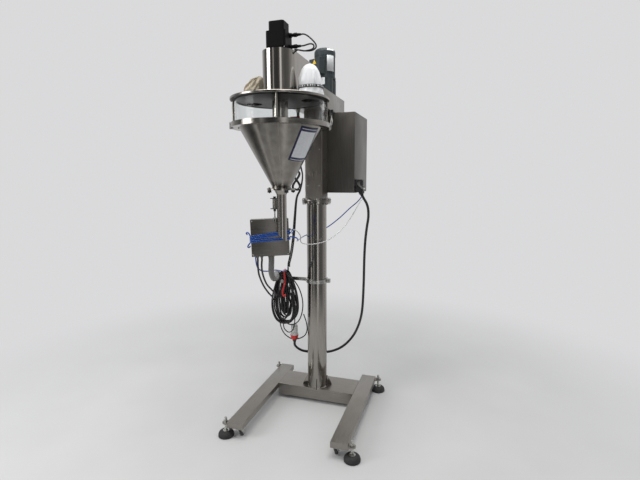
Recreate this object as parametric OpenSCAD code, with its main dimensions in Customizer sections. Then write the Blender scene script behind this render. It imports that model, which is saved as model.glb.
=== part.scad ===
// Auger powder filler on a free-standing column: H-shaped stand, round column, square mast,
// belt-driven stirrer, servo-driven auger, conical hopper with a clear sight ring, control
// cabinet at the back and a small control box beside the filling tube.
// Millimetres, +Z up, floor at Z = 0, filling side towards -Y.

/* [Stand] */
// Outer diameter of the column tube
column_d = 140; // [120:1:160]
// Wall thickness of the column tube
column_wall = 3; // [2:0.5:6]
// Height of the top of the column flange above the floor
column_top = 1474; // [1400:1:1600]
// Height of the top face of the legs above the floor
leg_top = 110; // [105:1:140]
// Length of each leg
leg_len = 894; // [800:1:1000]
// Width of each leg
leg_w = 107; // [90:1:120]
// Height of the leg section
leg_h = 40; // [34:1:44]
// How far the legs reach in front of the column axis
leg_front = 642; // [560:1:700]
// Clear distance between the two legs
leg_gap = 572; // [500:1:640]
// Depth of the cross member from front to back
cross_d = 218; // [205:1:260]
// Height of the cross member section
cross_h = 84; // [60:1:90]
// Thickness of the folded sheet of the stand
stand_sheet = 3; // [2:0.5:5]
// Height of the gussets at the foot of the column
gusset_h = 70; // [40:1:110]
// Length of the gussets along the floor
gusset_w = 36; // [20:1:60]

/* [Levelling feet] */
// Diameter of the rubber pad
pad_d = 100; // [70:1:110]
// Height of the rubber pad
pad_h = 40; // [30:1:44]
// Diameter of the threaded stem
stem_d = 16; // [12:1:20]
// Travel of the foot up and down from the stored height
foot_travel = 15; // [5:1:18]

/* [Casters] */
// Diameter of the caster wheel
wheel_d = 46; // [36:1:50]
// Width of the caster wheel
wheel_w = 18; // [14:1:24]
// Height of the wheel above the floor while the feet carry the machine
wheel_lift = 4; // [3:1:8]

/* [Mast and arm] */
// Width of the square mast
mast_w = 124; // [100:1:130]
// Depth of the square mast
mast_d = 132; // [110:1:138]
// Thickness of the mast and arm sheet
arm_sheet = 3; // [2:0.5:4]
// Diameter of the bolted flange pair between column and mast
flange_d = 204; // [200:1:230]
// Thickness of one flange of the pair
flange_t = 12; // [8:1:16]
// Number of flange bolts
flange_bolts = 8; // [4:1:10]
// Width of the arm housing
arm_w = 224; // [200:1:250]
// Height of the arm housing
arm_h = 116; // [100:1:140]
// How far the arm reaches behind the column axis
arm_back = 330; // [300:1:380]
// Distance from the column axis forward to the filling axis
reach = 629; // [580:1:700]

/* [Hopper] */
// Width of the flange round the top of the cone
rim_w = 39.5; // [36:0.5:46]
// How far the clear sight ring stands in from the edge of the lid
ring_inset = 22.5; // [18:0.5:26]
// Thickness of the lid edge
lid_t = 12; // [8:1:16]
// Height of the clear sight ring
ring_h = 118; // [90:1:140]
// Wall thickness of the clear sight ring
ring_wall = 8; // [5:0.5:10]
// Outer diameter of the cone just under the rim
cone_d = 456; // [420:1:470]
// Outer diameter of the cone at its lower end
cone_end_d = 106; // [100:1:130]
// Height of the cone below the rim
cone_h = 322; // [280:1:340]
// Sheet thickness of the hopper
hopper_sheet = 2; // [1.5:0.5:3]
// Height of the folded rim of the hopper
rim_h = 25; // [18:1:30]
// Diameter of the outlet flanges
outlet_d = 160; // [150:1:180]

/* [Filling tube and auger] */
// Outer diameter of the filling tube
tube_d = 55; // [50:1:60]
// Wall thickness of the filling tube
tube_wall = 1.5; // [1:0.5:2.5]
// Length of the filling tube below the outlet funnel
tube_len = 259; // [220:1:300]
// Diameter of the auger shaft
auger_shaft_d = 26; // [20:1:30]
// Gap between the auger flight and the tube
auger_gap = 1; // [0.5:0.1:2]
// Pitch of the auger flight
auger_pitch = 45; // [35:1:60]
// Thickness of the auger flight
flight_t = 4; // [3:0.5:6]

/* [Stirrer drive] */
// Outer diameter of the hollow stirrer shaft
stirrer_d = 50; // [46:1:56]
// Outer diameter of the bearing sleeve that hangs through the lid
sleeve_d = 86; // [80:1:96]
// Pitch radius of the stirrer pulley
big_pulley_r = 46; // [44:1:50]
// Pitch radius of the motor pulley
small_pulley_r = 23; // [20:1:30]
// Thickness of the drive belt
belt_t = 4; // [3:0.5:5]
// Width of the drive belt
belt_w = 25; // [20:1:30]
// Distance from the column axis back to the gear motor axis
motor_back = 205; // [180:1:230]
// Diameter of the gear motor body
motor_d = 146; // [130:1:160]

/* [Servo and its cover] */
// Width of the servo motor body
servo_w = 110; // [90:1:116]
// Height of the servo motor body
servo_h = 98; // [80:1:130]
// Half width of the D-shaped motor cover
cover_r = 90; // [86:1:100]
// Height of the motor cover above the lid
cover_h = 242; // [225:1:270]
// Sheet thickness of the motor cover
cover_sheet = 2; // [1.5:0.5:3]

/* [Control cabinet] */
// Width of the cabinet
cabinet_w = 312; // [280:1:340]
// Depth of the cabinet
cabinet_d = 396; // [340:1:420]
// Height of the cabinet
cabinet_h = 548; // [500:1:560]
// Height of the underside of the cabinet above the column flange
cabinet_lift = 56; // [50:1:90]
// Gap between the top of the cabinet and the arm
cabinet_gap = 2; // [1:0.5:10]
// Sheet thickness of the cabinet
cabinet_sheet = 2; // [1.5:0.5:3]

/* [Control box] */
// Width of the small control box
box_w = 218; // [190:1:240]
// Height of the small control box
box_h = 214; // [180:1:230]
// Depth of the small control box
box_d = 76; // [60:1:90]
// Tilt of the small control box as it hangs
box_tilt = -1.5; // [-4:0.5:4]
// Turn of the small control box towards the operator
box_yaw = 25; // [0:1:30]

/* [Hidden] */

$fn = 64;
eps = 0.01;
seat = 0.3;              // gap left between neighbouring curved faces
run_fit = 0.06;          // radial clearance of a shaft in its bore

// Colours
steel = "#8c8983";
bright = "#b9b6b0";
dark_green = "#3c4a4c";
black = "#1c1c1e";
red = "#b3202a";

// Round sizes that follow from the cone
lid_d = cone_d + 2 * rim_w;
ring_d = lid_d - 2 * ring_inset;

// Heights, from the floor up
leg_bottom = leg_top - leg_h;
head_plate_t = 24;
cabinet_z = column_top + cabinet_lift;
arm_z = cabinet_z + cabinet_h + cabinet_gap;
arm_top = arm_z + arm_h;
lid_top = arm_z - head_plate_t;
lid_z = lid_top - lid_t;
gasket_t = 2;
rim_top = lid_z - ring_h;
ring_flange_t = 12;
rim_z = rim_top - rim_h;
hopper_rim_t = rim_h - ring_flange_t;
cone_top = rim_top - ring_flange_t - 3;
cone_low = cone_top - cone_h;
outlet_neck = 16;
outlet_flange_t = 5;
outlet_z = cone_low - outlet_neck;
funnel_h = 22;
tube_top = outlet_z - 2 * outlet_flange_t - funnel_h;
tube_low = tube_top - tube_len;
cover_top = lid_top + cover_h;
motor_plate_t = 12;
servo_z = cover_top - cover_sheet - seat;
encoder_w = 86;
encoder_h = 50;

// Plan positions, measured from the column axis
mast_gap = 4;
cabinet_y = mast_d / 2 + mast_gap;
cabinet_back = cabinet_y + cabinet_d;
cabinet_right = 254;
cabinet_left = cabinet_right - cabinet_w;
door_t = 18;
lock_out = 14;
cover_back = 269;
arm_front = reach - cover_back;
front_extent = reach + lid_d / 2;
back_extent = cabinet_back + door_t + lock_out;
column_y = (front_extent - back_extent) / 2;
rod_angles = [for (i = [0:3]) -71 + 90 * i];
latch_angles = [25, 94];
claw_angle = 205;
claw_w = 24;

module at_column() translate([0, column_y, 0]) children();
module at_filling_axis() translate([0, column_y - reach, 0]) children();

// A rectangle centred on the origin with round corners
module round_rect(w, d, r) {
    square([w - 2 * r, d], center = true);
    square([w, d - 2 * r], center = true);
    for (x = [-1, 1], y = [-1, 1])
        translate([x * (w / 2 - r), y * (d / 2 - r)]) circle(r);
}

module ring(outer, inner, h) {
    difference() {
        cylinder(d = outer, h = h);
        translate([0, 0, -eps]) cylinder(d = inner, h = h + 2 * eps);
    }
}

// A hexagon-head bolt with washer, standing on Z = 0 with the head up
module hex_head(d, h = 0.65) {
    cylinder(d = 2 * d, h = 0.15 * d);
    translate([0, 0, 0.15 * d - eps]) cylinder(d = 1.9 * d, h = h * d, $fn = 6);
}

// ---- Stand ----

foot_out = 21;                       // foot axis beyond the outer side of the leg
foot_x = leg_gap / 2 + leg_w + foot_out;
foot_front_y = -leg_front + 21;
foot_rear_y = leg_len - leg_front - 6;
tab_t = 8;
tab_z = leg_bottom + 16;
tab_w = 44;
nut_h = 0.8 * stem_d;
stem_top = tab_z + tab_t + nut_h + foot_travel + 4;
caster_x = leg_gap / 2 + 28;
caster_front_y = -leg_front + 34;
caster_rear_y = leg_len - leg_front - 60;
caster_plate = 4;
vent_d = 8;

module foot_tab(y) {
    difference() {
        union() {
            translate([foot_x - foot_out, y - tab_w / 2, tab_z]) cube([foot_out, tab_w, tab_t]);
            translate([foot_x, y, tab_z]) cylinder(d = tab_w, h = tab_t);
        }
        translate([foot_x, y, tab_z - eps]) cylinder(r = stem_d / 2 + run_fit, h = tab_t + 2 * eps);
        translate([foot_x - foot_out - tab_w, y - tab_w, tab_z - eps])
            cube([tab_w, 2 * tab_w, tab_t + 2 * eps]);
    }
}

// Both legs are one rectangular tube with closed ends, drawn here for +X
module leg() {
    difference() {
        translate([leg_gap / 2 + leg_w / 2, -leg_front, leg_bottom + leg_h / 2])
            rotate([-90, 0, 0]) linear_extrude(leg_len) round_rect(leg_w, leg_h, 3);
        translate([leg_gap / 2 + stand_sheet, -leg_front + stand_sheet, leg_bottom + stand_sheet])
            cube([leg_w - 2 * stand_sheet, leg_len - 2 * stand_sheet, leg_h - 2 * stand_sheet]);
        translate([leg_gap / 2 + leg_w / 2, 0, leg_bottom - eps]) cylinder(d = vent_d, h = 2 * stand_sheet);
    }
    for (y = [foot_front_y, foot_rear_y]) foot_tab(y);
    for (y = [caster_front_y, caster_rear_y])
        translate([caster_x, y, leg_bottom - caster_plate / 2 + eps])
            cube([48, 48, caster_plate], center = true);
}

module left_leg() color(steel) at_column() mirror([1, 0, 0]) leg();
module right_leg() color(steel) at_column() leg();

module cross_member() color(steel) at_column() {
    back = -column_d / 2 + cross_d;
    difference() {
        translate([-leg_gap / 2, -column_d / 2, leg_top - cross_h]) cube([leg_gap, cross_d, cross_h]);
        translate([-leg_gap / 2 + stand_sheet, -column_d / 2 + stand_sheet, leg_top - cross_h
            + stand_sheet])
            cube([leg_gap - 2 * stand_sheet, cross_d - 2 * stand_sheet, cross_h - 2 * stand_sheet]);
        translate([0, back - 40, leg_top - cross_h - eps]) cylinder(d = vent_d, h = 2 * stand_sheet);
    }
}

// Levelling foot: rubber pad with a domed top and a threaded stem with a spanner hexagon
module foot(x, y) at_column() translate([x, y, 0]) {
    color(black) rotate_extrude() polygon([
        [0, 0], [pad_d / 2 - 3, 0], [pad_d / 2, 3], [pad_d / 2, 12],
        for (a = [10:10:70]) [stem_d + (pad_d / 2 - stem_d) * cos(a), 12 + (pad_h - 12) * sin(a)],
        [stem_d, pad_h], [0, pad_h]]);
    color(bright) {
        translate([0, 0, pad_h - eps]) cylinder(d = 1.7 * stem_d, h = 0.5 * stem_d, $fn = 6);
        translate([0, 0, pad_h - eps]) cylinder(d = stem_d, h = stem_top - pad_h);
    }
}

module foot_front_left() foot(-foot_x, foot_front_y);
module foot_front_right() foot(foot_x, foot_front_y);
module foot_rear_left() foot(-foot_x, foot_rear_y);
module foot_rear_right() foot(foot_x, foot_rear_y);

wheel_z = wheel_lift + wheel_d / 2;
caster_trail = 14;
axle_r = 4;
fork_gap = 1;
fork_t = 3;
head_h = 5;
fork_top = leg_bottom - caster_plate - 2 * seat;
fork_w = wheel_w + 2 * fork_gap + 2 * fork_t;

module caster_fork(x, y) color(bright) at_column() translate([x, y, 0]) {
    crown = fork_top - head_h - fork_t;
    translate([0, 0, fork_top - head_h]) cylinder(d = 38, h = head_h);
    translate([-fork_w / 2, -18, crown]) cube([fork_w, 36 + caster_trail / 2, fork_t + eps]);
    for (s = [-1, 1])
        translate([s * (fork_w / 2 - fork_t / 2), 0, 0]) rotate([90, 0, 90])
            translate([0, 0, -fork_t / 2]) linear_extrude(fork_t)
                polygon([[-18, crown + 1], [caster_trail - 10, wheel_z - 6], [caster_trail, wheel_z - 9],
                    [caster_trail + 10, wheel_z - 6], [18 + caster_trail / 2, crown + 1]]);
    translate([-fork_w / 2 - 2, caster_trail, wheel_z]) rotate([0, 90, 0])
        cylinder(r = axle_r, h = fork_w + 4);
}

module caster_fork_front_left() caster_fork(-caster_x, caster_front_y);
module caster_fork_front_right() caster_fork(caster_x, caster_front_y);
module caster_fork_rear_left() caster_fork(-caster_x, caster_rear_y);
module caster_fork_rear_right() caster_fork(caster_x, caster_rear_y);

// A wheel with a rounded tread and a hub that runs on the axle
module caster_wheel(x, y) color(black) at_column() translate([x, y + caster_trail, wheel_z])
    rotate([0, 90, 0]) difference() {
        rotate_extrude() polygon([
            [0, -wheel_w / 2], [wheel_d / 4, -wheel_w / 2], [wheel_d / 4, -wheel_w / 2 + 3],
            [wheel_d / 2 - 6, -wheel_w / 2 + 3], [wheel_d / 2 - 4, -wheel_w / 2],
            for (a = [-60:20:60]) [wheel_d / 2 - 2.5 + 2.5 * cos(a), (wheel_w / 2 - 2.5) * sin(a)],
            [wheel_d / 2 - 4, wheel_w / 2], [wheel_d / 2 - 6, wheel_w / 2 - 3],
            [wheel_d / 4, wheel_w / 2 - 3], [wheel_d / 4, wheel_w / 2], [0, wheel_w / 2]]);
        translate([0, 0, -wheel_w]) cylinder(r = axle_r + run_fit, h = 2 * wheel_w);
    }

module caster_wheel_front_left() caster_wheel(-caster_x, caster_front_y);
module caster_wheel_front_right() caster_wheel(caster_x, caster_front_y);
module caster_wheel_rear_left() caster_wheel(-caster_x, caster_rear_y);
module caster_wheel_rear_right() caster_wheel(caster_x, caster_rear_y);

// ---- Column and mast ----

bolt_d = 12;
bolt_circle = flange_d - 30;
gusset_t = 6;
weld = 5;

module flange_plate(z) translate([0, 0, z]) difference() {
    cylinder(d = flange_d, h = flange_t);
    translate([0, 0, -eps]) cylinder(d = column_d - 2 * column_wall, h = flange_t + 2 * eps);
    for (i = [0:flange_bolts - 1]) rotate(360 / flange_bolts * (i + 0.5))
        translate([bolt_circle / 2, 0, -eps])
        cylinder(d = bolt_d + 1, h = flange_t + 2 * eps);
}

module column() color(steel) at_column() {
    translate([0, 0, leg_top]) ring(column_d, column_d - 2 * column_wall,
        column_top - leg_top - flange_t / 2);
    flange_plate(column_top - flange_t);
    translate([0, 0, leg_top]) rotate_extrude() polygon([
        [column_d / 2 - eps, 0], [column_d / 2 + weld, 0], [column_d / 2 - eps, weld]]);
    for (a = [0:90:270]) rotate(a + 14) translate([column_d / 2 - 1, gusset_t / 2, leg_top])
        rotate([90, 0, 0])
        linear_extrude(gusset_t) polygon([[0, 0], [gusset_w + 1, 0], [gusset_w + 1, 8], [8, gusset_h],
            [0, gusset_h]]);
}

module mast_housing() color(steel) at_column() {
    difference() {
        translate([0, 0, column_top]) linear_extrude(arm_z - column_top) round_rect(mast_w, mast_d, 4);
        translate([0, 0, column_top - eps]) linear_extrude(arm_z - column_top + 2 * eps)
            round_rect(mast_w - 2 * arm_sheet, mast_d - 2 * arm_sheet, 2);
    }
    difference() {
        translate([0, 0, column_top]) cylinder(d = flange_d, h = flange_t);
        translate([0, 0, column_top - eps]) linear_extrude(flange_t + 2 * eps)
            round_rect(mast_w - 2 * arm_sheet, mast_d - 2 * arm_sheet, 2);
        for (i = [0:flange_bolts - 1]) rotate(360 / flange_bolts * (i + 0.5))
            translate([bolt_circle / 2, 0, column_top - eps])
                cylinder(d = bolt_d + 1, h = flange_t + 2 * eps);
    }
}

hanger_z = 908;
hanger_h = 26;
hanger_t = 9;
bar_h = 24;
bar_t = 10;
bar_end = 236;
hank_x = -224;
peg_d = 16;
peg_len = 104;
ear_w = 26;
clamp_x = column_d / 2 + seat + hanger_t + 10;      // axis of the clamp bolt through the ears

// Split collar round the column with a flat bar and a peg that carries the coiled cables
module cable_hanger() color(steel) at_column() {
    inner = column_d / 2 + seat;
    outer = inner + hanger_t;
    difference() {
        union() {
            translate([0, 0, hanger_z - hanger_h / 2]) cylinder(r = outer, h = hanger_h);
            translate([outer - 6, -ear_w / 2, hanger_z - hanger_h / 2])
                cube([clamp_x + 9 - outer + 6, ear_w, hanger_h]);
            translate([-bar_end, -bar_t / 2, hanger_z - bar_h / 2])
                cube([bar_end - column_d / 2 - 4, bar_t, bar_h]);
        }
        translate([0, 0, hanger_z - hanger_h]) cylinder(r = inner, h = 2 * hanger_h);
        translate([0, -2, hanger_z - hanger_h]) cube([2 * outer, 4, 2 * hanger_h]);
        translate([clamp_x, ear_w, hanger_z]) rotate([90, 0, 0]) cylinder(d = 9, h = 2 * ear_w);
    }
    translate([hank_x, -bar_t / 2 + 1, hanger_z]) rotate([90, 0, 0]) cylinder(d = peg_d, h = peg_len);
    translate([hank_x, -bar_t / 2 + 1 - peg_len, hanger_z - peg_d / 2])
        rotate([90, 0, 0]) translate([0, peg_d / 2, 0]) cylinder(d = peg_d + 10, h = 5);
}

module round_screw(d) {
    cylinder(d = 2 * d, h = 0.4 * d);
    translate([0, 0, 0.4 * d - eps]) cylinder(d = 1.6 * d, h = 0.2 * d);
}

// Bolts, nuts and screws of the frame, each a solid of its own
module frame_fasteners() color(bright) at_column() {
    for (i = [0:flange_bolts - 1]) rotate(360 / flange_bolts * (i + 0.5))
        translate([bolt_circle / 2, 0, 0]) {
        translate([0, 0, column_top + flange_t]) hex_head(bolt_d);
        translate([0, 0, column_top - flange_t - 0.2 * bolt_d])
            cylinder(d = bolt_d, h = 2 * flange_t + 0.3 * bolt_d);
        translate([0, 0, column_top - flange_t]) rotate([180, 0, 0]) hex_head(bolt_d, 0.8);
    }
    for (x = [-1, 1], y = [foot_front_y, foot_rear_y]) translate([x * foot_x, y, tab_z + tab_t])
        difference() {
        cylinder(d = 1.75 * stem_d, h = nut_h, $fn = 6);
        translate([0, 0, -eps]) cylinder(r = stem_d / 2 + run_fit, h = nut_h + 2 * eps);
    }
    for (p = [[-41, column_top + 108], [41, column_top + 108], [43, column_top + 349],
        [-43, column_top + 349]])
        translate([p[0], -mast_d / 2, p[1]]) rotate([90, 0, 0]) round_screw(5);
    translate([clamp_x, -ear_w / 2, hanger_z]) rotate([90, 0, 0]) hex_head(8);
    translate([clamp_x, ear_w / 2, hanger_z]) rotate([-90, 0, 0]) hex_head(8, 0.8);
    translate([clamp_x, ear_w / 2 + 1, hanger_z]) rotate([90, 0, 0])
        cylinder(d = 8, h = ear_w + 2);
    translate([12, -column_d / 2 - seat - hanger_t, hanger_z]) rotate([90, 0, 0]) hex_head(9);
}

// ---- Arm, stirrer drive and servo ----

post_d = 12;
post_x = 70;
post_ys = [-32, 58];
bearing_flange_d = 118;
pulley_flange = 4;
belt_z = arm_z + 44;
gear_hole_d = 60;
head_half = cover_r - cover_sheet - 3;

module d_outline(r, back) {
    circle(r = r);
    translate([-r, 0]) square([2 * r, back]);
}

module arm_housing() color(steel) {
    at_column() difference() {
        translate([-arm_w / 2, -arm_front, arm_z]) cube([arm_w, arm_front + arm_back, arm_h]);
        translate([-arm_w / 2 + arm_sheet, -arm_front + arm_sheet, arm_z + arm_sheet])
            cube([arm_w - 2 * arm_sheet, arm_front + arm_back - 2 * arm_sheet, arm_h - 2 * arm_sheet]);
        translate([-head_half, -arm_front - eps, arm_z + arm_sheet])
            cube([2 * head_half, 2 * arm_sheet, arm_h - 2 * arm_sheet]);
        translate([0, motor_back, arm_top - 2 * arm_sheet]) cylinder(d = gear_hole_d, h = 4 * arm_sheet);
    }
    at_column() translate([bundle_route[0][0], bundle_route[0][1], arm_z]) rotate([180, 0, 0])
        cable_gland(bundle_d, arm_z - bundle_route[0][2]);
    at_filling_axis() {
        difference() {
            translate([0, 0, lid_top]) linear_extrude(head_plate_t)
                intersection() {
                    d_outline(head_half, cover_back + 60);
                    translate([-head_half, -head_half]) square([2 * head_half, 2 * head_half + cover_back]);
                }
            translate([0, 0, lid_top - eps]) cylinder(d = sleeve_d + 2 * seat, h = head_plate_t + 2 * eps);
        }
        for (x = [-1, 1], y = post_ys) translate([x * post_x, y, arm_z - eps])
            cylinder(d = post_d, h = servo_z - motor_plate_t - arm_z + 2 * eps);
        difference() {
            translate([0, 0, servo_z - motor_plate_t]) linear_extrude(motor_plate_t)
                intersection() {
                    d_outline(cover_r - cover_sheet - 2, 70);
                    translate([-100, -46]) square([200, 116]);
                }
            translate([0, 0, servo_z - 2 * motor_plate_t]) cylinder(d = 60, h = 3 * motor_plate_t);
        }
    }
}

// Cable gland standing on Z = 0: a hexagon and a round nut
module cable_gland(d, h) {
    translate([0, 0, -eps]) cylinder(d = d + 14, h = 0.4 * h, $fn = 6);
    cylinder(d = d + 8, h = h);
}

// Bearing sleeve that hangs through the lid and carries the hollow stirrer shaft
module bearing_sleeve() color(bright) at_filling_axis() {
    sleeve_low = lid_z - 104;
    difference() {
        rotate_extrude() polygon([
            [stirrer_d / 2 - 2, sleeve_low], [sleeve_d / 2 - 3, sleeve_low], [sleeve_d / 2, sleeve_low + 3],
            [sleeve_d / 2, arm_z], [bearing_flange_d / 2, arm_z], [bearing_flange_d / 2, arm_z + 10],
            [sleeve_d / 2 - 4, arm_z + 10], [sleeve_d / 2 - 4, arm_z + 16],
                [stirrer_d / 2 - 2, arm_z + 16]]);
        translate([0, 0, sleeve_low - 10]) cylinder(r = stirrer_d / 2 + run_fit, h = 300);
        for (a = [45:90:315]) rotate(a) translate([bearing_flange_d / 2 - 8, 0, arm_z - eps])
            cylinder(d = 7, h = 20);
    }
}

// Outline round both pulleys, at a distance out from their pitch radii
module belt_outline(out) hull() {
    circle(r = big_pulley_r + out);
    translate([0, reach + motor_back]) circle(r = small_pulley_r + out);
}

module drive_belt() color(black) at_filling_axis() translate([0, 0, belt_z]) linear_extrude(belt_w)
    difference() {
    belt_outline(seat + belt_t);
    belt_outline(seat);
}

// A toothed pulley with side flanges; the teeth stay inside the pitch radius
module pulley(r, teeth) {
    total = belt_w + 2 * pulley_flange + 2;
    difference() {
        translate([0, 0, -pulley_flange - 1]) cylinder(r = r, h = total);
        for (i = [0:teeth - 1]) rotate(360 / teeth * i) translate([r + 0.6, 0, -1])
            cylinder(r = 2, h = belt_w + 2, $fn = 16);
    }
    for (z = [-pulley_flange - 1, belt_w + 1]) translate([0, 0, z])
        cylinder(r = r + belt_t + 2, h = pulley_flange);
}

big_teeth = 32;
small_teeth = 16;

module motor_pulley() color(bright) at_column() translate([0, motor_back, 0]) {
    translate([0, 0, belt_z]) pulley(small_pulley_r, small_teeth);
    translate([0, 0, belt_z - 12]) cylinder(d = 24, h = arm_top + 30 - belt_z + 12);
}

module motor_cover() color(bright) at_filling_axis() {
    back = cover_back - seat;
    hole = servo_w + 2;
    difference() {
        translate([0, 0, lid_top]) linear_extrude(cover_h) d_outline(cover_r, back);
        translate([0, 0, lid_top - eps]) linear_extrude(cover_h - cover_sheet)
            d_outline(cover_r - cover_sheet, back - cover_sheet);
        translate([-hole / 2, -hole / 2, cover_top - 2 * cover_sheet]) cube([hole, hole, 4 * cover_sheet]);
        translate([-cover_r + cover_sheet, back - 2 * cover_sheet, lid_top - eps])
            cube([2 * (cover_r - cover_sheet), 4 * cover_sheet, arm_top - lid_top]);
    }
    translate([servo_gland[0], servo_gland[1], cover_top]) cylinder(d = 34, h = servo_gland[2] - cover_top);
}

module chamfer_box(w, h, c) linear_extrude(h) polygon([
    [w / 2 - c, -w / 2], [w / 2, -w / 2 + c], [w / 2, w / 2 - c], [w / 2 - c, w / 2],
    [-w / 2 + c, w / 2], [-w / 2, w / 2 - c], [-w / 2, -w / 2 + c], [-w / 2 + c, -w / 2]]);

plug_y = 18;
plug_r = 9;
lead_d = 8;

// Connector on the servo's side: stub, base, ribbed nut and boot; every lead leaves at x = plug_end
plug_end = servo_w / 2 + 62;
plug_zs = [28, servo_h - 12];

module servo_plug(z) translate([servo_w / 2, plug_y, servo_z + z]) rotate([0, 90, 0]) {
    translate([0, 0, -1]) cylinder(r = plug_r + 3, h = 11);
    translate([0, 0, 10 - eps]) cylinder(r = plug_r, h = 14);
    translate([0, 0, 24 - 2 * eps]) cylinder(r = plug_r + 2, h = 16, $fn = 12);
    translate([0, 0, 40 - 3 * eps]) cylinder(r1 = plug_r - 1, r2 = lead_d / 2 + 2,
        h = plug_end - servo_w / 2 - 40 + 4 * eps);
}

module servo_motor() color(black) at_filling_axis() {
    translate([0, 0, servo_z]) {
        chamfer_box(servo_w, 12, 8);
        translate([0, 0, 12 - eps]) chamfer_box(servo_w - 4, 6, 14);
        translate([0, 0, 18 - 2 * eps]) chamfer_box(servo_w, servo_h - 18 + 2 * eps, 10);
        translate([0, 0, servo_h - eps]) chamfer_box(encoder_w, encoder_h, 9);
    }
    for (z = plug_zs) servo_plug(z);
}

gear_box_w = 150;
gear_box_h = 144;
gear_flange_t = 14;
motor_z = arm_top + gear_box_h;
motor_h = 194;
cowl_h = 52;

module gearbox() color(dark_green) at_column() translate([0, motor_back, arm_top]) difference() {
    union() {
        linear_extrude(gear_flange_t) round_rect(gear_box_w + 8, gear_box_w + 8, 12);
        translate([0, 0, gear_flange_t - eps]) linear_extrude(gear_box_h - 2 * gear_flange_t + 2 * eps)
            round_rect(gear_box_w - 14, gear_box_w - 14, 20);
        for (a = [0:90:270]) rotate(a) translate([-3, gear_box_w / 2 - 12, gear_flange_t - eps])
            cube([6, 10, gear_box_h - 2 * gear_flange_t + 2 * eps]);
        translate([0, 0, gear_box_h - gear_flange_t]) cylinder(d = gear_box_w + 4, h = gear_flange_t);
    }
    translate([0, 0, -eps]) cylinder(d = 24 + 2 * run_fit, h = 32);
    for (x = [-1, 1], y = [-1, 1]) translate([x * gear_box_w * 0.44, y * gear_box_w * 0.44, -eps])
        cylinder(d = 9, h = gear_flange_t + 2 * eps);
}

fin_n = 28;
term_w = 92;
term_h = 96;
term_d = 46;
term_turn = -114;

// Finned motor with its fan cowl and terminal box
module gear_motor() color(dark_green) at_column() translate([0, motor_back, motor_z]) {
    body_h = motor_h - cowl_h;
    difference() {
        cylinder(d = motor_d, h = body_h);
        for (i = [0:fin_n - 1]) rotate(360 / fin_n * (i + 0.5)) translate([motor_d / 2 - 6, -3, 16])
            cube([12, 6, body_h - 30]);
    }
    translate([0, 0, body_h - eps]) rotate_extrude() polygon([
        [0, 0], [motor_d / 2 + 2, 0], [motor_d / 2 + 2, cowl_h - 26],
        for (a = [15:15:75]) [motor_d / 2 - 24 + 26 * cos(a), cowl_h - 26 + 26 * sin(a)],
        [motor_d / 2 - 24, cowl_h], [0, cowl_h]]);
    rotate(term_turn) {
        translate([motor_d / 2 - 14, -term_w / 2, 14]) cube([term_d, term_w, term_h]);
        translate([motor_d / 2 - 15 + term_d, -term_w / 2 - 2, 12]) cube([8, term_w + 4, term_h + 4]);
        translate([motor_d / 2 + 14, -22, 14 + eps]) rotate([180, 0, 0]) cylinder(d = 22, h = 13, $fn = 6);
    }
}

// ---- Lid, sight ring and hopper ----

filter_at = [162, 32];
filter_d = 142;
filter_port_d = 104;
filter_port_h = 44;
feed_at = [-172, 36];
feed_port_d = 96;
feed_port_h = 34;

module lid_plate() color(steel) at_filling_axis() {
    difference() {
        union() {
            translate([0, 0, lid_z]) rotate_extrude() polygon([
                [0, 0], [lid_d / 2 - 2, 0], [lid_d / 2, 2], [lid_d / 2, lid_t - 2],
                    [lid_d / 2 - 2, lid_t], [0, lid_t]]);
            translate([filter_at[0], filter_at[1], lid_top - eps])
                cylinder(d = filter_port_d, h = filter_port_h);
            translate([feed_at[0], feed_at[1], lid_top - eps]) cylinder(d = feed_port_d, h = feed_port_h);
        }
        translate([0, 0, lid_z - eps]) cylinder(d = sleeve_d + 2 * seat, h = 2 * lid_t);
        translate([filter_at[0], filter_at[1], lid_z - eps]) cylinder(d = filter_port_d - 6,
            h = 2 * filter_port_h + lid_t);
        translate([feed_at[0], feed_at[1], lid_z - eps]) cylinder(d = feed_port_d - 6, h = 2 * feed_port_h
            + lid_t);
    }
}

module sight_ring() color("#cfd6d8", 0.35) at_filling_axis() translate([0, 0, rim_top + gasket_t])
    ring(ring_d, ring_d - 2 * ring_wall, ring_h - 2 * gasket_t);

// Flat rubber gaskets under and over the sight ring
module ring_gaskets() color(black) at_filling_axis() for (z = [rim_top, lid_z - gasket_t])
    translate([0, 0, z]) ring(ring_d + 1, ring_d - 2 * ring_wall - 4, gasket_t);

rod_d = 12;

// Lower flange of the sight ring with the four rods that hang it from the lid
module ring_frame() color(bright) at_filling_axis() {
    translate([0, 0, rim_z + hopper_rim_t]) ring(lid_d, cone_d, ring_flange_t);
    for (a = rod_angles) rotate(a) translate([ring_d / 2 + rod_d / 2 + seat + 3, 0, rim_top - eps]) {
        cylinder(d = rod_d, h = ring_h + eps);
        cylinder(d = 1.5 * rod_d, h = 8, $fn = 6);
    }
}

module hopper() color(steel) at_filling_axis() {
    rim_in = cone_d / 2;
    slope = (cone_d - cone_end_d) / 2 / cone_h;
    s = hopper_sheet * sqrt(1 + slope * slope);
    difference() {
        rotate_extrude() polygon([
            [cone_end_d / 2, outlet_z], [outlet_d / 2, outlet_z],
                [outlet_d / 2, outlet_z + outlet_flange_t],
            [cone_end_d / 2, outlet_z + outlet_flange_t], [cone_end_d / 2, cone_low],
            [rim_in, cone_top], [rim_in, rim_z], [lid_d / 2, rim_z], [lid_d / 2, rim_z + hopper_rim_t],
            [rim_in - s, rim_z + hopper_rim_t], [rim_in - s, cone_top], [cone_end_d / 2 - s, cone_low],
            [cone_end_d / 2 - s, outlet_z]]);
        for (a = [45:90:315]) rotate(a) translate([outlet_bolt_r, 0, outlet_z - eps])
            cylinder(d = 7, h = 2 * outlet_flange_t);
    }
}

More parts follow.
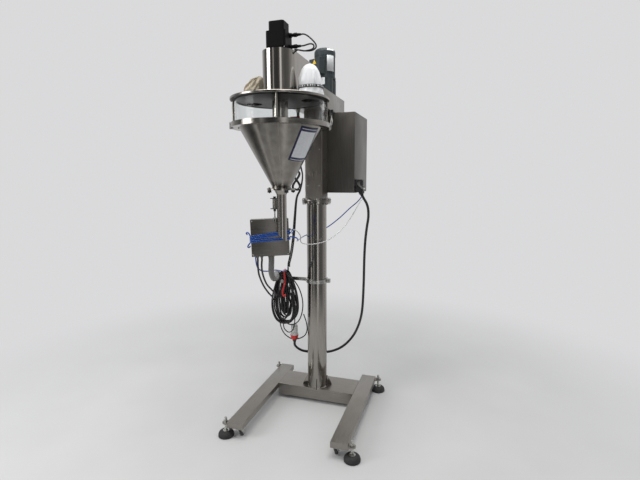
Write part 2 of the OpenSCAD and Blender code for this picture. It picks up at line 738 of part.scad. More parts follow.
// Toggle latches: base on the sight ring flange, lever with a grip, wire loop under the hopper rim.
// Drawn at angle 0, with +X pointing out from the filling axis.
edge_r = lid_d / 2;
pivot_r = edge_r + 12;
pivot_z = rim_top + 2;
loop_r = pivot_r + 4;
loop_z = pivot_z + 20;
bar_r = edge_r + 6;
bar_z = rim_z - 3;
wire_d = 5;
latch_pin_d = 5;
grip_w = 60;
grip_h = 26;
lever_w = 12;
ear_t = 3;
ear_gap = 1;
wire_y = lever_w / 2 + ear_gap + ear_t + 1 + wire_d / 2;

module latch_base() {
    difference() {
        union() {
            translate([edge_r - 22, -14, rim_top]) cube([22 + 3, 28, 3]);
            translate([edge_r + seat, -14, rim_z + hopper_rim_t - 1])
                cube([3 - seat, 28, ring_flange_t + 3]);
            for (s = [-1, 1]) translate([0, s * (lever_w / 2 + ear_gap + ear_t / 2) + ear_t / 2, 0])
                rotate([90, 0, 0]) linear_extrude(ear_t) polygon([
                    [edge_r + 1, rim_z + hopper_rim_t - 1], [pivot_r + 4, pivot_z - 6],
                        [pivot_r + 6, pivot_z],
                    [pivot_r + 3, pivot_z + 6], [pivot_r - 4, pivot_z + 6], [edge_r - 8, rim_top + 2],
                    [edge_r - 8, rim_top], [edge_r + 1, rim_top]]);
        }
        translate([pivot_r, 50, pivot_z]) rotate([90, 0, 0]) cylinder(r = latch_pin_d / 2 + run_fit,
            h = 100);
    }
    // Catch on the hopper rim, under which the loop's bar sits
    difference() {
        translate([edge_r + seat, -11, rim_z]) cube([11, 22, hopper_rim_t - 3]);
        translate([bar_r, 20, bar_z]) rotate([90, 0, 0]) cylinder(d = wire_d + 2 * seat, h = 40);
    }
}

// Fixed claw opposite the latches: bolted on the ring flange, hooked under the hopper rim
module rim_claw() translate([0, claw_w / 2, 0]) rotate([90, 0, 0]) linear_extrude(claw_w) polygon([
    [edge_r - 20, rim_top], [edge_r + seat, rim_top], [edge_r + seat, rim_z - seat],
    [edge_r - 14, rim_z - seat], [edge_r - 14, rim_z - 5], [edge_r + 5, rim_z - 5],
    [edge_r + 5, rim_top + 4], [edge_r - 20, rim_top + 4]]);

module latch_bases() color(bright) at_filling_axis() {
    for (a = latch_angles) rotate(a) latch_base();
    rotate(claw_angle) rim_claw();
}

module latch_lever(a, grip) at_filling_axis() rotate(a) {
    color(bright) {
        difference() {
            translate([0, lever_w / 2, 0]) rotate([90, 0, 0]) linear_extrude(lever_w) polygon([
                [pivot_r - 5, pivot_z - 5], [pivot_r + 5, pivot_z - 5], [loop_r + 6, loop_z],
                [loop_r + 4, loop_z + 8], [loop_r + 2, loop_z + 12], [loop_r - 5, loop_z + 12],
                    [pivot_r - 5, pivot_z + 6]]);
            translate([pivot_r, 20, pivot_z]) rotate([90, 0, 0])
                cylinder(r = latch_pin_d / 2 - eps, h = 40);
            translate([loop_r, 20, loop_z]) rotate([90, 0, 0]) cylinder(r = wire_d / 2 + run_fit, h = 40);
        }
        translate([pivot_r, wire_y - 4, pivot_z]) rotate([90, 0, 0])
            cylinder(d = latch_pin_d, h = 2 * wire_y - 8);
        translate([loop_r - 4, -5, loop_z + 12 - eps]) cube([5, 10, 20]);
    }
    color(grip) translate([loop_r - 1.5, 0, loop_z + 28]) linear_extrude(grip_h) round_rect(13, grip_w, 5);
}

module latch_lever_right() latch_lever(latch_angles[0], black);
module latch_lever_rear() latch_lever(latch_angles[1], red);

module latch_loop(a) color(bright) at_filling_axis() rotate(a) {
    leg = norm([loop_r - bar_r, loop_z - bar_z]);
    half = wire_y + wire_d / 2;
    for (side = [-1, 1]) translate([bar_r, side * wire_y, bar_z])
        rotate([0, atan2(loop_r - bar_r, loop_z - bar_z), 0]) cylinder(d = wire_d - 0.4, h = leg);
    for (p = [[bar_r, bar_z], [loop_r, loop_z]]) translate([p[0], half, p[1]])
        rotate([90, 0, 0]) cylinder(d = wire_d, h = 2 * half);
}

module latch_loop_right() latch_loop(latch_angles[0]);
module latch_loop_rear() latch_loop(latch_angles[1]);

// ---- Outlet, filling tube, auger and stirrer ----

outlet_bolt_r = outlet_d / 2 - 9;
knob_d = 20;

// Four knob bolts that pull the tube flange up against the hopper
module outlet_clamp() color(black) at_filling_axis() for (a = [45:90:315]) rotate(a)
    translate([outlet_bolt_r, 0, 0]) {
    translate([0, 0, outlet_z + outlet_flange_t]) cylinder(d = 11, h = 5, $fn = 6);
    translate([0, 0, outlet_z - 2 * outlet_flange_t - 12]) cylinder(d = 6, h = 2 * outlet_flange_t + 20);
    translate([0, 0, outlet_z - outlet_flange_t - 13]) {
        cylinder(d = knob_d, h = 13);
        for (b = [0:60:300]) rotate(b) translate([knob_d / 2 - 1, 0, 0]) cylinder(d = 5, h = 11, $fn = 16);
    }
}

tube_in = tube_d - 2 * tube_wall;
cut_angle = 45;

module filling_tube() color(bright) at_filling_axis() {
    top = outlet_z - outlet_flange_t;
    wide = cone_end_d / 2 - 12;
    difference() {
        rotate_extrude() polygon([
            [tube_d / 2, tube_low], [tube_d / 2, tube_top], [wide, top], [outlet_d / 2, top],
                [outlet_d / 2, outlet_z],
            [wide - tube_wall, outlet_z], [wide - tube_wall, top], [tube_in / 2, tube_top],
                [tube_in / 2, tube_low]]);
        for (a = [45:90:315]) rotate(a) translate([outlet_bolt_r, 0, top - eps])
            cylinder(d = 7, h = 2 * outlet_flange_t);
        translate([tube_d / 2, 0, tube_low]) rotate([0, cut_angle, 0])
            translate([-2 * tube_d, -tube_d, -2 * tube_d]) cube([3 * tube_d, 2 * tube_d, 2 * tube_d]);
    }
}

flight_r = tube_in / 2 - auger_gap;
flight_top = cone_low + 20;
coupling_z = servo_z - 96;
coupling_h = 70;
feed_flight_r = cone_end_d / 2 - 15;

// The helical blade is a thin bar swept with a twist
module flight(r, z, h) {
    turns = h / auger_pitch;
    translate([0, 0, z]) linear_extrude(h, twist = -360 * turns, slices = ceil(16 * turns), $fn = 8)
        translate([auger_shaft_d / 2 - 1.5, -flight_t / 2]) square([r - auger_shaft_d / 2 + 1.5, flight_t]);
}

module auger() color(bright) at_filling_axis() {
    low = tube_low + 42;
    translate([0, 0, low]) cylinder(d = auger_shaft_d, h = coupling_z - low + 10);
    flight(flight_r, low + 4, tube_top - low - 4);
    flight(feed_flight_r, outlet_z + 2, flight_top - outlet_z - 2);
    translate([0, 0, coupling_z]) cylinder(d = 46, h = coupling_h / 2 - 1);
    translate([0, 0, coupling_z + coupling_h / 2 - 2]) cylinder(d = 38, h = 4);
    translate([0, 0, coupling_z + coupling_h / 2 + 1]) cylinder(d = 46, h = coupling_h / 2 - 1);
    translate([0, 0, coupling_z + coupling_h - 1]) cylinder(d = 22,
        h = servo_z - seat - coupling_z - coupling_h + 1);
}

stirrer_bore = auger_shaft_d / 2 + run_fit;
blade_t = 8;
blade_w = 26;
hub_z = lid_z - 150;

// Hollow shaft with its pulley, and two scraper blades that follow the cone wall
module stirrer() color(bright) at_filling_axis() {
    slope = (cone_d - cone_end_d) / 2 / cone_h;
    wall_gap = 14;
    blade_top = cone_top - 16;
    blade_low = cone_low + 26;
    r_top = cone_d / 2 - (cone_top - blade_top) * slope - wall_gap;
    r_low = cone_end_d / 2 + (blade_low - cone_low) * slope - wall_gap;
    difference() {
        union() {
            translate([0, 0, hub_z]) cylinder(d = stirrer_d, h = belt_z + belt_w + pulley_flange
                + 12 - hub_z);
            translate([0, 0, hub_z - 20]) cylinder(d = stirrer_d + 18, h = 46);
            translate([0, 0, belt_z]) pulley(big_pulley_r, big_teeth);
            translate([0, 0, blade_low]) ring(2 * r_low + 4, 2 * r_low - 8, 12);
        }
        translate([0, 0, hub_z - 40]) cylinder(r = stirrer_bore, h = 400);
    }
    for (s = [0, 180]) rotate(s) {
        translate([0, blade_t / 2, 0]) rotate([90, 0, 0]) linear_extrude(blade_t) polygon([
            [r_low - 3, blade_low], [r_low, blade_low], [r_top, blade_top], [r_top, blade_top + 14],
            [r_top - blade_w, blade_top + 14], [r_top - blade_w, blade_top], [r_low - 3, blade_low + 34]]);
        translate([stirrer_d / 2 + 6, 0, hub_z]) rotate([0, 90, 0])
            cylinder(d = 14, h = r_top - blade_w / 2 - stirrer_d / 2 - 6);
    }
}

gate_x = -43;
gate_d = 24;
gate_top = tube_top - 22;
gate_len = 54;
gate_rod_d = 8;
gate_plate_w = 40;
gate_fork = 28;
gate_bore_top = gate_top - 14;

// Small pneumatic cylinder beside the filling tube, held by two saddle plates
module gate_cylinder() color(bright) at_filling_axis() difference() {
    union() {
        translate([gate_x, 0, gate_top - gate_len]) cylinder(d = gate_d, h = gate_len);
        for (z = [gate_top, gate_top - gate_len - 4]) translate([gate_x - gate_plate_w / 2, -14, z])
            cube([-gate_x + gate_plate_w / 2 - 6, 28, 4]);
        translate([gate_x, 0, gate_top + 4 - eps]) cylinder(d = 17, h = 9, $fn = 6);
        translate([gate_x, 0, gate_top - gate_len - 16]) cylinder(d = 16, h = 12 + eps, $fn = 6);
    }
    cylinder(d = tube_d + 2 * seat, h = 4000);
    translate([gate_x, 0, gate_top - gate_len - 30])
        cylinder(r = gate_rod_d / 2 + run_fit, h = gate_bore_top - gate_top + gate_len + 30);
}

module gate_rod() color(bright) at_filling_axis() translate([gate_x, 0, 0]) {
    low = gate_top - gate_len - 52;
    translate([0, 0, low]) cylinder(d = gate_rod_d, h = gate_bore_top - seat - low);
    difference() {
        translate([-8, -8, low - gate_fork + 6]) cube([16, 16, gate_fork - 6 + eps]);
        translate([-4, -10, low - gate_fork]) cube([8, 20, gate_fork - 8]);
        translate([-10, 0, low - gate_fork + 12]) rotate([0, 90, 0]) cylinder(d = 5, h = 20);
    }
}

// ---- Control cabinet ----

lip = 14;
hinge_pin_d = 6;
hinge_out = 8;
hinge_len = 60;
hinge_zs = [cabinet_z + 80, cabinet_z + cabinet_h - 140];
lock_x = cabinet_right - 46;
lock_z = cabinet_z + cabinet_h / 2;
lock_d = 20;
plate_gap = 26;

module cabinet() color(steel) at_column() {
    t = cabinet_sheet;
    difference() {
        translate([cabinet_left, cabinet_y, cabinet_z]) cube([cabinet_w, cabinet_d, cabinet_h]);
        translate([cabinet_left + t, cabinet_y + t, cabinet_z + t])
            cube([cabinet_w - 2 * t, cabinet_d - 2 * t, cabinet_h - 2 * t]);
        translate([cabinet_left + lip, cabinet_y + cabinet_d - 2 * t, cabinet_z + lip])
            cube([cabinet_w - 2 * lip, 4 * t, cabinet_h - 2 * lip]);
    }
    // Rails to the mast
    for (z = [cabinet_z + 60, cabinet_z + cabinet_h - 100])
        translate([-mast_w / 2 + 8, mast_d / 2, z]) cube([mast_w - 16, mast_gap + eps, 40]);
    // Mounting plate on four posts
    translate([cabinet_left + 24, cabinet_y + plate_gap, cabinet_z + 24])
        cube([cabinet_w - 48, 2, cabinet_h - 48]);
    for (x = [cabinet_left + 40, cabinet_right - 40], z = [cabinet_z + 40, cabinet_z + cabinet_h - 40])
        translate([x, cabinet_y + t - eps, z]) rotate([-90, 0, 0])
            cylinder(d = 10, h = plate_gap - t + 2 * eps);
    // Push-in hose fittings under the floor
    for (p = [air_route[0], clear_route[len(clear_route) - 1]]) translate([p[0], p[1], p[2]])
        cylinder(d = 16, h = cabinet_z - p[2] + eps);
    // Hinge ears with their pins
    for (z = hinge_zs) {
        for (e = [-12, hinge_len + 2]) {
            translate([cabinet_left - hinge_out, cabinet_back + 2, z + e])
                cylinder(d = hinge_pin_d + 6, h = 10);
            translate([cabinet_left - hinge_out - 5, cabinet_back - 10, z + e])
                cube([hinge_out + 5 + eps, 9.5, 10]);
        }
        translate([cabinet_left - hinge_out, cabinet_back + 2, z - 12])
            cylinder(d = hinge_pin_d, h = hinge_len + 24);
    }
}

module cabinet_door() color(steel) at_column() {
    t = cabinet_sheet;
    y = cabinet_back + seat;
    difference() {
        union() {
            difference() {
                translate([cabinet_left, y, cabinet_z]) cube([cabinet_w, door_t - seat, cabinet_h]);
                translate([cabinet_left + t, y - eps, cabinet_z + t])
                    cube([cabinet_w - 2 * t, door_t - seat - t, cabinet_h - 2 * t]);
            }
            for (z = hinge_zs) {
                translate([cabinet_left - hinge_out, cabinet_back + 2, z])
                    cylinder(d = hinge_pin_d + 7, h = hinge_len);
                translate([cabinet_left - hinge_out, cabinet_back + 2, z])
                    cube([hinge_out + t, 6, hinge_len]);
            }
            translate([lock_x, y + door_t - seat - t - 6, lock_z]) rotate([-90, 0, 0])
                cylinder(d = lock_d + 10, h = 6 + eps);
        }
        for (z = hinge_zs) translate([cabinet_left - hinge_out, cabinet_back + 2, z - eps])
            cylinder(r = hinge_pin_d / 2 + run_fit, h = hinge_len + 2 * eps);
        translate([lock_x, y - 10, lock_z]) rotate([-90, 0, 0]) cylinder(r = lock_d / 2 + run_fit, h = 40);
    }
}

// Quarter-turn lock with a wing outside and a cam inside
module door_lock() color(black) at_column() translate([lock_x, cabinet_back + door_t, lock_z]) {
    translate([0, -door_t - 4, 0]) rotate([-90, 0, 0]) cylinder(d = lock_d, h = door_t + 4 + seat);
    translate([0, seat, 0]) rotate([-90, 0, 0]) cylinder(d = lock_d + 8, h = 5);
    translate([-5, 5, -16]) cube([10, lock_out - 5, 32]);
    translate([-8, -door_t - 8, -30]) cube([16, 4 + eps, 40]);
}

// Heavy-duty connector: surface base on the cabinet's side with a hood plugged in from below
con_y = cabinet_y + 30;
con_w = 50;
con_x = 60;
con_base_h = 46;
con_hood_h = 46;
con_z = cabinet_z + 46;
con_tilt = 28;
gland_d = 30;
gland_len = 26;
hood_in = 6;
lever_pin_r = 4;

module power_connector() color(black) at_column() {
    translate([cabinet_right, con_y - con_w / 2, con_z]) cube([con_x - 8, con_w, con_base_h]);
    translate([cabinet_right + con_x - 8 - eps, con_y - con_w / 2 + 6, con_z + 4])
        cube([5, con_w - 12, con_base_h - 10]);
    translate([cabinet_right + hood_in, con_y - con_w / 2 + 4, con_z - con_hood_h]) difference() {
        cube([con_x - hood_in, con_w - 8, con_hood_h + eps]);
        translate([-eps, -1, -eps]) rotate([0, -12, 0]) translate([0, 0, -20]) cube([con_x, con_w, 20]);
    }
    for (s = [-1, 1]) translate([cabinet_right + con_x / 2, con_y + s * (con_w / 2), con_z
        + con_base_h / 2])
        rotate([-90 * s, 0, 0]) cylinder(r = lever_pin_r, h = 5);
    translate(gland_root) rotate([0, 180 - con_tilt, 0]) {
        translate([0, 0, -8]) cylinder(d = gland_d, h = 20);
        translate([0, 0, 12 - eps]) cylinder(r1 = gland_d / 2 - 2, r2 = cable_d / 2 + 2,
            h = gland_len - 12);
    }
}

module connector_lever() color("#8a8d8f") at_column() {
    px = cabinet_right + con_x / 2;
    pz = con_z + con_base_h / 2;
    for (s = [-1, 1]) difference() {
        translate([0, con_y + s * (con_w / 2 + 1.5) + 1, 0]) rotate([90, 0, 0]) linear_extrude(2) polygon([
            [px - 8, pz + 7], [px + 8, pz + 7], [px + 9, pz - 10], [px + con_x / 2 + 4, pz - 34],
            [px + con_x / 2 + 4, pz - 44], [px + con_x / 2 - 5, pz - 44], [px - 8, pz - 12]]);
        translate([px, con_y + s * (con_w / 2 - 5), pz]) rotate([-90 * s, 0, 0])
            cylinder(r = lever_pin_r + run_fit, h = 12);
    }
    translate([px + con_x / 2 + 1, con_y - con_w / 2 - 2.5, pz - 44]) cube([3, con_w + 5, 10]);
}

// ---- Control box tied to the filling tube ----

hose_d = 8;
box_slide = 68;
box_front = tube_d / 2 + hose_d + 2 * seat;
box_at = [box_front * -sin(box_yaw) - box_slide * cos(box_yaw),
    box_front * cos(box_yaw) - box_slide * sin(box_yaw), tube_low + 13.5];
cover_t = 8;
wrap_z = [-34, 22];
gland_y = cover_t + 28;
box_glands = [[-77, 22], [-53, 22], [2, 42]];

module box_frame() at_filling_axis() translate(box_at) rotate([0, box_tilt, box_yaw]) children();

// A point of the box's own frame, measured from the column axis
function box_point(p) = let (
    tilted = [p[0] * cos(box_tilt) + p[2] * sin(box_tilt), p[1], p[2] * cos(box_tilt)
        - p[0] * sin(box_tilt)])
    [0, -reach, 0] + box_at + [tilted[0] * cos(box_yaw) - tilted[1] * sin(box_yaw),
        tilted[0] * sin(box_yaw) + tilted[1] * cos(box_yaw), tilted[2]];

module control_box() color(steel) box_frame() {
    difference() {
        translate([-box_w / 2 + 2, cover_t, -box_h / 2 + 2]) cube([box_w - 4, box_d - cover_t, box_h - 4]);
        translate([-box_w / 2 + 4, cover_t - eps, -box_h / 2 + 4])
            cube([box_w - 8, box_d - cover_t - 2, box_h - 8]);
    }
    // Cable glands on the underside
    for (g = box_glands) translate([g[0], gland_y, -box_h / 2 + 3]) {
        gland = g[1];
        translate([0, 0, -5]) cylinder(d = gland, h = 5, $fn = 6);
        translate([0, 0, -14]) cylinder(d = gland - 4, h = 9 + eps);
    }
    // Push-in hose fitting on the side
    translate([box_w / 2 - 2 - eps, cover_t + 25, 39.5]) rotate([0, 90, 0]) cylinder(d = 14, h = 13.4);
}

module box_cover() color(steel) box_frame() difference() {
    translate([-box_w / 2, 0, -box_h / 2]) cube([box_w, cover_t - eps, box_h]);
    translate([-box_w / 2 + 2 - seat / 2, 2, -box_h / 2 + 2 - seat / 2])
        cube([box_w - 4 + seat, cover_t, box_h - 4 + seat]);
}

// ---- Cloth on the lid ----

// White filter cap over its port: domed top, waist at the strap, short skirt on the lid
module filter_cap() color("white") at_filling_axis() translate([filter_at[0], filter_at[1], lid_top])
    difference() {
    rotate_extrude() polygon([
        [0, seat], [filter_d / 2, seat], [filter_d / 2, 14], [filter_d / 2 - 4, 40], [filter_d / 2 - 5, 52],
        [filter_d / 2 - 5, 64], [filter_d / 2 - 11, 92], [filter_d / 2 - 19, 126],
        for (a = [30:15:75]) [40 * cos(a) + 8, 138 + 39 * sin(a)], [0, 177]]);
    translate([0, 0, -eps]) cylinder(d = filter_port_d + 2 * seat, h = filter_port_h + seat);
}

// Beige sleeve gathered and folded over the feed port
module feed_cloth() color("#b9ad93") at_filling_axis() translate([feed_at[0], feed_at[1], lid_top])
    difference() {
    union() {
        hull() {
            translate([0, 0, seat]) cylinder(r = 72, h = 18, $fn = 32);
            translate([14, 4, 40]) cylinder(r = 56, h = 30, $fn = 32);
            translate([30, 4, 90]) cylinder(r = 40, h = 14, $fn = 32);
            translate([36, 2, 118]) cylinder(r = 18, h = 10, $fn = 32);
        }
    }
    translate([0, 0, -eps]) cylinder(d = feed_port_d + 2 * seat, h = feed_port_h + seat);
    translate([-feed_at[0] - cover_r - seat, -200, -1]) cube([200, 400, 400]);
}

// ---- Cords ----

cable_d = 18;
bundle_d = 20;
servo_gland = [62, 65, cover_top + 8];
gland_root = [cabinet_right + con_x - 22, con_y, con_z - con_hood_h + 4];

function unit(v) = v / norm(v);
function pick(p, i) = p[max(0, min(len(p) - 1, i))];
function tangent(p, i) = unit(pick(p, i + 1) - pick(p, i - 1));
function side_of(t) = unit(cross(t, abs(t[2]) > 0.9 ? [0, 1, 0] : [0, 0, 1]));

// The first side vector carried along the route, so that the tube doesn't twist
function frames(p, i = 0, u = undef) = i >= len(p) ? [] :
    let (t = tangent(p, i), w = i == 0 ? side_of(t) : unit(u - (u * t) * t))
    concat([[p[i], w, cross(t, w)]], frames(p, i + 1, w));

module tube(points, d, sides = 8) {
    f = frames(points);
    n = len(points);
    ring_points = [for (k = [0:n - 1], j = [0:sides - 1])
        f[k][0] + d / 2 * (cos(360 * j / sides) * f[k][1] + sin(360 * j / sides) * f[k][2])];
    walls = [for (k = [0:n - 2], j = [0:sides - 1]) let (m = (j + 1) % sides)
        [k * sides + j, k * sides + m, (k + 1) * sides + m, (k + 1) * sides + j]];
    polyhedron(ring_points, concat(walls,
        [[for (j = [sides - 1:-1:0]) j]], [[for (j = [0:sides - 1]) (n - 1) * sides + j]]));
}

power_route = [[304.2, 100, cabinet_z - 19], [316, 100, 1489], [334, 103, 1458], [346, 106, 1415],
    [347, 109, 1355], [337, 111, 1285], [327, 112, 1190], [321, 114, 1060], [318, 116, 870],
        [310, 118, 690],
    [291, 118, 585], [256, 116, 495], [208, 113, 425], [150, 108, 372], [80, 100, 338], [10, 90, 325],
    [-48, 78, 326], [-92, 52, 333], [-128, 22, 350], [-153, -6, 377], [-166, -24, 404], [-168, -27, 419],
    [-168, -27, 433.5]];
plug_base = [-168, -27, 434];
air_route = [[235, 398, cabinet_z - 16], [235, 397, 1490], [208, 372, 1450], [158, 330, 1402],
    [92, 260, 1330],
    [25, 172, 1270], [-36, 118, 1243], [-76, 60, 1230], [-90, 0, 1225], [-84, -80, 1223], [-58, -200, 1228],
    [-24, -330, 1237], [20, -430, 1258], [34, -490, 1280], [22, -520, 1290],
    box_point([box_w / 2 + 8.6, 50, -6])];
tail_route = [box_point([-92, 80.6, -34.5]), [-192.5, -590, 1216], [-191, -587, 1170], [-189, -575, 1112],
    [-182, -535, 1078], [-176, -450, 1056], [-178, -330, 1038], [-186, -225, 1010], [-197, -145, 992],
    [-200, -116, hanger_z + 82], [-200, -98.5, hanger_z + 82]];
clear_route = [box_point([box_w / 2 + 11.4, 33, 39.5]), [33, -537, 1337], [48, -527, 1328],
    [56, -510, 1312],
    [55, -480, 1290], [36, -430, 1262], [18, -370, 1236], [11, -290, 1214], [18, -200, 1198],
    [46, -120, 1193], [98, -62, 1208], [166, 0, 1262], [210, 90, 1330], [234, 200, 1402], [242, 320, 1455],
    [242, 395, 1470], [242, 424, 1488], [242, 430, cabinet_z - 16]];
bundle_route = [[-80, -130, arm_z - 20], [-80, -130, arm_z - 90], [-80, -128, 1860], [-76, -124, 1740],
    [-60, -118, 1650], [-74, -124, 1560], [-100, -128, 1500], [-116, -122, 1380], [-132, -112, 1240],
    [-154, -96, 1130], [-176, -78, 1062], [-188, -68, 1030], [-190, -66, hanger_z + 98.4]];
box_lead_a = [box_point([box_glands[0][0], 36, -118.5]), box_point([box_glands[0][0], 36, -136]),
    [-160, -622, 1130], [-165, -600, 1068],
    [-178, -520, 985], [-205, -390, 900], [-246, -240, 828], [-291, -122, 772],
        [-291, -98.5, hanger_z - 136]];
box_lead_b = [box_point([box_glands[1][0], 36, -118.5]), box_point([box_glands[1][0], 36, -136]),
    [-140, -613, 1132], [-144, -595, 1075],
    [-156, -520, 995], [-180, -390, 920], [-218, -240, 850], [-266, -122, 790],
        [-266, -98.5, hanger_z - 118]];
conduit_route = [box_point([box_glands[2][0], 36, -118.5]), box_point([box_glands[2][0], 36, -140]),
    [-89.5, -589, 1120], [-96, -575, 1078], [-114, -510, 1030], [-146, -400, 1000], [-190, -280, 985],
    [-238, -180, 974], [-261, -128, hanger_z + 60], [-262, -112, hanger_z + 60],
    [-262, -98.5, hanger_z + 60]];
servo_lead_a = [[117, 18, 83.7], [133, 18, 83.5], [150, 20, 76], [168, 24, 62], [184, 30, 46],
    [194, 38, 30],
    [190, 47, 18], [172, 56, 11], [150, 61, 10], [120, 66, 14], [96, 68, 20], [80, 70, 23], [70, 70.5, 19],
    [67, 70, 14], [67, 70, 8.5]];
servo_lead_b = [[117, 18, 25.7], [133, 18, 26], [152, 19, 30], [170, 22, 33], [183, 27, 29], [185, 31, 20],
    [176, 38, 12], [152, 46, 9], [120, 52, 10], [90, 55, 18], [72, 58, 22], [62, 60, 19], [57, 60, 14],
    [57, 60, 8.5]];

module power_cable() color(black) at_column() tube(power_route, cable_d, 10);

// Five-pin plug on the end of the power cable
module mains_plug() at_column() translate(plug_base) {
    color(black) translate([0, 0, seat]) cylinder(d1 = cable_d + 4, d2 = 34, h = 18);
    color(red) translate([0, 0, 18]) rotate_extrude() polygon([
        [0, 0], [17, 0], [23, 5], [27, 10], [28, 28], [30, 32], [30, 38], [0, 38]]);
    color("#d8d8d4") translate([0, 0, 56 - eps]) rotate_extrude() polygon([
        [0, 0], [28, 0], [28, 8], [25, 12], [25, 68], [22, 74], [0, 74]]);
}

// Coiled cable hung over the peg, as one closed ring
hank_w = 256;
hank_hole_w = 136;
hank_top = 92;
hank_h = 442;
hank_bottom = 78;
hank_t = 84;
hank_y = -bar_t / 2 - 9;

module slot_outline(w, low, high) hull() for (z = [low + w / 2, high - w / 2]) translate([0, z])
    circle(d = w, $fn = 48);

module cable_hank() color(black) at_column() {
    hole_high = hanger_z + peg_d / 2 + seat;
    high = hole_high + hank_top;
    translate([hank_x, hank_y, 0]) rotate([90, 0, 0]) linear_extrude(hank_t) difference() {
        slot_outline(hank_w, high - hank_h, high);
        slot_outline(hank_hole_w, high - hank_h + hank_bottom, hole_high);
    }
}

module air_hose() color("#2b4fae") {
    at_column() tube(air_route, hose_d);
    at_column() tube(tail_route, hose_d);
}

// Turns of the air hose wound round the control box, as one closed band
module hose_wrap() color("#2b4fae") box_frame() translate([0, box_d / 2, wrap_z[0]])
    linear_extrude(wrap_z[1] - wrap_z[0]) difference() {
        round_rect(box_w + 2 * seat + 2 * hose_d, box_d + 2 * seat + 2 * hose_d, hose_d);
        square([box_w + 2 * seat, box_d + 2 * seat], center = true);
    }

module clear_hose() color("#e4e4e0") at_column() tube(clear_route, hose_d - 2);

module signal_leads() color(black) {
    at_column() {
        tube(bundle_route, bundle_d);
        tube(box_lead_a, 11);
        tube(box_lead_b, 11);
        tube(conduit_route, 34);
    }
    at_filling_axis() translate([0, 0, cover_top]) {
        tube(servo_lead_a, lead_d);
        tube(servo_lead_b, lead_d);
    }
}

left_leg();
right_leg();
cross_member();
foot_front_left();
foot_front_right();
foot_rear_left();
foot_rear_right();
caster_fork_front_left();
caster_fork_front_right();
caster_fork_rear_left();
caster_fork_rear_right();
caster_wheel_front_left();
caster_wheel_front_right();
caster_wheel_rear_left();
caster_wheel_rear_right();
column();
mast_housing();
frame_fasteners();
cable_hanger();
arm_housing();
bearing_sleeve();
drive_belt();
motor_pulley();
motor_cover();
servo_motor();
gearbox();
gear_motor();
lid_plate();
sight_ring();
ring_gaskets();
ring_frame();
hopper();
latch_bases();
latch_lever_right();
latch_lever_rear();
latch_loop_right();
latch_loop_rear();
outlet_clamp();
filling_tube();
stirrer();
auger();
gate_cylinder();
gate_rod();
cabinet();
cabinet_door();
door_lock();
power_connector();
connector_lever();
control_box();
box_cover();
filter_cap();
feed_cloth();
power_cable();
mains_plug();
cable_hank();
air_hose();
hose_wrap();
clear_hose();
signal_leads();
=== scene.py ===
import random
from math import atan2, cos, exp, hypot, pi, radians, sin, tau

import bpy
from mathutils import Matrix, Vector, noise
from mathutils.kdtree import KDTree


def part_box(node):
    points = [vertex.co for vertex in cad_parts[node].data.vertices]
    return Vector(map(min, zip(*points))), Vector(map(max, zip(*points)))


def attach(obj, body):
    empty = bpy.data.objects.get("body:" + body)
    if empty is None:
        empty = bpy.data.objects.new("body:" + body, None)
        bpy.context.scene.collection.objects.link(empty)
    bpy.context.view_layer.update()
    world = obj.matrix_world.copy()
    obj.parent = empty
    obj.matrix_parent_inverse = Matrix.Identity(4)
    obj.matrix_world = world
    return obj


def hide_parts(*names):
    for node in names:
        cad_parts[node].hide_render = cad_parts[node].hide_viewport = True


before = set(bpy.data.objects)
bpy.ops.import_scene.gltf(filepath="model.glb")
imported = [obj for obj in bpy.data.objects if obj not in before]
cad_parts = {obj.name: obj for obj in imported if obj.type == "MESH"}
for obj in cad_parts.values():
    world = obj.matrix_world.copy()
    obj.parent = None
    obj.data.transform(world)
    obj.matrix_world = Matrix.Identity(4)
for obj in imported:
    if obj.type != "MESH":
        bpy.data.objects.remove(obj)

random.seed(11)
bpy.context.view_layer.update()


# ---- Places, from the frame ----

def middle(node):
    low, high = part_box(node)
    return (low + high) / 2


LID_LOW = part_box("lid_plate")[0]
LID_THICK = 0.012
SLEEVE_MID = middle("bearing_sleeve")
AXIS = Vector((SLEEVE_MID.x, SLEEVE_MID.y, 0))
COLUMN = Vector((0, middle("column").y, 0))
LID_TOP = LID_LOW.z + LID_THICK


def at(points, axis=COLUMN):
    """Points in millimetres from an upright axis, as points in metres in the row frame."""
    return [axis + Vector(p) / 1000 for p in points]


# ---- Objects and the camera ----

def add_object(name, data):
    """A new object that holds the data."""
    made = bpy.data.objects.new(name, data)
    bpy.context.scene.collection.objects.link(made)
    return made


CAMERA_AT = (0.92762, -2.63514, 1.63519)
CAMERA_ANGLES = (90 - 8.35, 0.2, 17.65)
SENSOR, LENS = 36, 23.87


def add_camera():
    """The camera, with the place and the lens that were fitted to the photo's edges."""
    data = bpy.data.cameras.new("camera")
    data.sensor_width = SENSOR
    data.lens = LENS
    cam = add_object("camera", data)
    cam.location = CAMERA_AT
    cam.rotation_euler = [radians(angle) for angle in CAMERA_ANGLES]
    bpy.context.scene.camera = cam


add_camera()


# ---- Cords ----

def smooth_route(points, step=0.012):
    """A Catmull-Rom curve through the points, sampled about every step metres."""
    ends = [2 * points[0] - points[1], *points, 2 * points[-1] - points[-2]]
    out = []
    for a, b, c, d in zip(ends, ends[1:], ends[2:], ends[3:]):
        n = max(2, round((c - b).length / step))
        for k in range(n):
            t = k / n
            out.append(0.5 * (2 * b + (c - a) * t + (2 * a - 5 * b + 4 * c - d) * t * t
                              + (3 * b - a - 3 * c + d) * t * t * t))
    return [*out, points[-1]]


